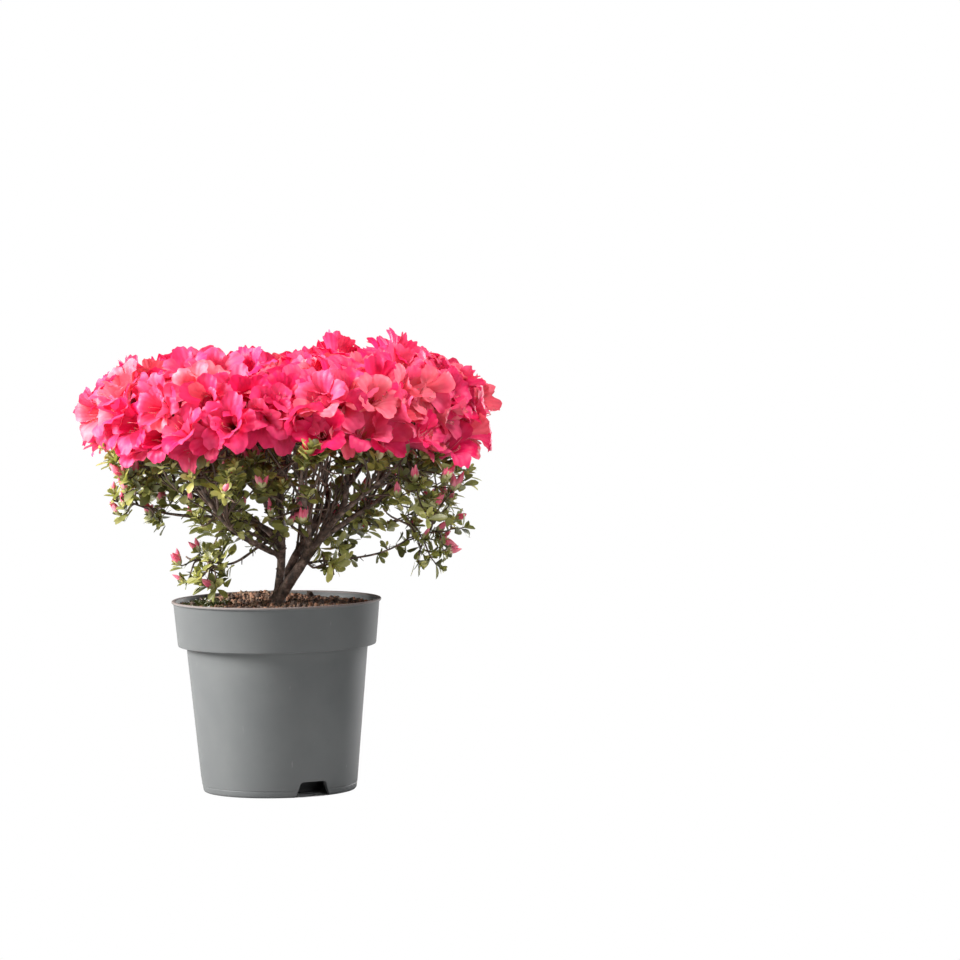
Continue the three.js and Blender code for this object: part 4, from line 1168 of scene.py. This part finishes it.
def build_pot():
    profile, sides = pot_profile(), POT.sides
    shapes = Shapes()
    points = round_z(profile[:, :1], np.arange(sides) * TURN / sides, profile[:, 1:])
    shapes.add(points, grid_faces(len(profile), sides, closed=True))
    pot = shapes.build("pot_wall", PLASTIC, "pot_plastic", ["pot"])
    close_mesh(pot.data, reversed(range(sides)), range((len(profile) - 1) * sides, len(profile) * sides))
    cutters = []
    for k in range(NOTCH.count):
        cutters.append(notch_cutter(radians(NOTCH.heading) + k * TURN / NOTCH.count))
        cut = pot.modifiers.new(f"notch_{k}", "BOOLEAN")
        cut.operation, cut.solver, cut.object = "DIFFERENCE", "EXACT", cutters[-1]
    applied = bpy.data.meshes.new_from_object(pot.evaluated_get(bpy.context.evaluated_depsgraph_get()))
    pot.modifiers.clear()
    pot.data = applied
    for cutter in cutters:
        bpy.data.objects.remove(cutter, do_unlink=True)
    applied.shade_smooth()
    applied.set_sharp_from_angle(angle=radians(SHARP_ANGLE))


SOIL_EDGE = Row(radius=71.2, height=131.8)
HEAP = Row(at=(-24, 60), reach=(36, 26), height=4.4)  # soil heaped against the back of the rim
MOUND = 17  # the radius round the trunk inside which the soil is highest
SOIL_GRID = (70, 150)
SOIL_ROUGH = Waves(501, 16, 9)
SOIL_FINE = Waves(502, 4, 9)
CRUMB = Row(count=3600, kinds=10, shares=(0.4, 0.42, 0.18), least=0.45, usual=0.42, most=2.8)
MOSS_PATCH = Row(count=1500, at=(-53, 0), spread=(7, 13), length=(2, 4.2))


def soil_height(x, y):
    share = np.clip((np.hypot(x, y) - MOUND) / (SOIL_EDGE.radius - MOUND), 0, 1)
    flat = np.stack([x, y, np.zeros_like(x)], axis=-1)
    away = ((x - HEAP.at[0]) / HEAP.reach[0]) ** 2 + ((y - HEAP.at[1]) / HEAP.reach[1]) ** 2
    smooth = mix(SOIL_TOP, SOIL_EDGE.height, share) + HEAP.height * np.exp(-away)
    return smooth + 0.7 * SOIL_ROUGH(flat) * np.minimum(1, share * 6 + 0.2) + 0.35 * SOIL_FINE(flat)


def build_soil():
    """The soil's uneven top and, inside the pot, its sides and underside."""
    rings, sides = SOIL_GRID
    radius = np.linspace(0.1, SOIL_EDGE.radius, rings)[:, None]
    angles = np.arange(sides) * TURN / sides
    top = round_z(radius, angles, soil_height(radius * np.cos(angles), radius * np.sin(angles)))
    wall, ledge, dish = POT.wall, POT.band_foot, POT.dish
    inset, floor = wall + 2 * GAP, POT.channel + wall + GAP
    walls = np.array([
        (POT.band_foot_radius - inset, ledge + wall + 1.5), (POT.body_top - inset, ledge - 2),
        (POT.foot - inset + 0.75, floor), (dish - GAP, floor), (dish - inset, wall + GAP),
        (0.1, wall + GAP)])
    shapes = Shapes()
    below = round_z(walls[:, :1], angles, walls[:, 1:])
    shapes.add(np.concatenate([top, below]), grid_faces(rings + len(walls), sides, closed=True))
    shapes.build("soil_bed", SOIL, "potting_soil", ["soil"])
    draw = default_rng(53)
    build_crumbs(draw)
    build_moss(draw)


def build_crumbs(draw):
    lump, faces = lump_shape(4, 6)
    kinds = [lump * (1 + 0.35 * Waves(510 + k, 1.6)(lump * 2)[:, None]) for k in range(CRUMB.kinds)]
    pieces = [Shapes() for _ in CRUMBS]
    for _ in range(CRUMB.count):
        radius = sqrt(draw.uniform(0, 1)) * (SOIL_EDGE.radius - 2)
        angle = draw.uniform(0, TURN)
        x, y = radius * cos(angle), radius * sin(angle)
        size = min(CRUMB.most, CRUMB.least + draw.exponential(CRUMB.usual))
        shapes = pieces[draw.choice(len(pieces), p=CRUMB.shares)]
        stretch = np.array([1, draw.uniform(0.4, 1), draw.uniform(0.6, 1.7)])
        frames = frames_for(unit(draw.normal(0, 1, (1, 3))), UP) * size * stretch[:, None]
        at = np.array([[x, y, soil_height(x, y) + size * 0.2]])
        shapes.copies(kinds[draw.integers(CRUMB.kinds)], faces, frames, at)
    for name, shapes in zip(CRUMBS, pieces):
        shapes.build(f"soil_crumbs_{name}", CRUMBS[name], "potting_soil")


def build_moss(draw):
    moss = Shapes()
    for _ in range(MOSS_PATCH.count):
        x, y = draw.normal(MOSS_PATCH.at, MOSS_PATCH.spread)
        if math.hypot(x, y) <= SOIL_EDGE.radius - 2:
            way = unit([draw.normal(0, 0.7), draw.normal(0, 0.7), 0.7])
            frames = frames_for(way[None], unit(draw.normal(0, 1, 3))) * draw.uniform(*MOSS_PATCH.length)
            moss.copies(*LEAF_SHAPES[0], frames, np.array([[x, y, soil_height(x, y)]]))
    moss.build("moss", MOSS, "potting_soil")


# Studio

CAMERA = Row(at=(147.4, -3400, 427.2), towards=(147.4, 0, 220.2), roll=-0.9, view=11.53, sensor=36)
LIGHTS = table("name at size power colour", [
    ("key", (-1900, -380, 1150), 1000, 220, (1, 0.99, 0.97)),
    ("edge", (1600, 2000, 400), 600, 40, (1, 1, 1)),
    ("top", (900, -500, 2300), 800, 88, (1, 1, 1)),
    ("fill", (900, -1900, 900), 800, 14, (1, 1, 1)),
])
LIT = (10, 0, 190)  # what the lamps point at
AMBIENT = 0.08
FLOOR = Row(reach=8000, tone=0.36, roughness=0.9)


def aim(thing, at, towards, roll=0.0):
    place, target = Vector(at) * MM, Vector(towards) * MM
    turn = (target - place).to_track_quat("-Z", "Y").to_matrix().to_4x4()
    thing.matrix_world = Matrix.Translation(place) @ turn @ Matrix.Rotation(radians(roll), 4, "Z")


def build_studio():
    scene = bpy.context.scene
    data = bpy.data.cameras.new("camera")
    data.sensor_width = CAMERA.sensor
    data.lens = CAMERA.sensor / 2 / math.tan(radians(CAMERA.view) / 2)
    scene.camera = add_object("camera", data)
    aim(scene.camera, CAMERA.at, CAMERA.towards, CAMERA.roll)
    for light in LIGHTS:
        data = bpy.data.lights.new(light.name, "AREA")
        data.shape = "DISK"
        data.size = light.size * MM
        data.energy = light.power
        data.color = light.colour
        aim(add_object(light.name, data), light.at, LIT)
    scene.world = bpy.data.worlds.new("studio")
    scene.world.use_nodes = True
    tree = scene.world.node_tree
    seen = node(tree, "LightPath").outputs["Is Camera Ray"]
    strength = node(tree, "Mix", Factor=seen, A=AMBIENT, B=1.0)
    feed(tree.nodes["Background"], Color=(1, 1, 1, 1), Strength=strength)
    scene.view_settings.view_transform = "Standard"
    build_floor()


def build_floor():
    """A wide pale floor that the camera sees as plain white, but for its shade under the pot."""
    floor = bpy.data.materials.new("floor")
    floor.use_nodes = True
    tree = floor.node_tree
    surface = tree.nodes["Principled BSDF"]
    feed(surface, Base_Color=(FLOOR.tone,) * 3 + (1,), Roughness=FLOOR.roughness)
    place = node(tree, "TexCoord").outputs["Object"]
    away = node(tree, "VectorMath", operation="LENGTH", Vector=place).outputs["Value"]
    clear = node(tree, "Math", operation="GREATER_THAN", Value=away)
    clear.inputs[1].default_value = (POT.foot - 1) * MM
    seen = node(tree, "Math", operation="MULTIPLY", Value=clear)
    tree.links.new(node(tree, "LightPath").outputs["Is Camera Ray"], seen.inputs[1])
    mix_shaders(tree, seen, surface, node(tree, "Emission", Strength=1.0))
    mesh = bpy.data.meshes.new("floor")
    reach = FLOOR.reach * MM
    corners = [(-reach, -reach, 0), (reach, -reach, 0), (reach, reach, 0), (-reach, reach, 0)]
    mesh.from_pydata(corners, [], [(0, 1, 2, 3)])
    mesh.materials.append(floor)
    add_object("floor", mesh)


def build_plant():
    stems = lay_out_stems()
    masses = lay_out_masses()
    share_out_stems(stems, masses)
    lay_out_boughs(stems, masses)
    set_forks(masses, main_spots(masses))
    build_bark(stems, masses)
    main_twigs(masses)
    leaves, twigs, buds, bracts = build_foliage(masses)
    build_flowers(masses, twigs, leaves)
    twigs.build("twigs", TWIG, "bark", [mass.name for mass in masses])
    build_leaves(leaves)
    buds.build("bud_petals", BUD, "leaves_and_buds")
    bracts.build("bud_bracts", BRACT, "leaves_and_buds")


build_studio()
build_pot()
build_soil()
build_plant()
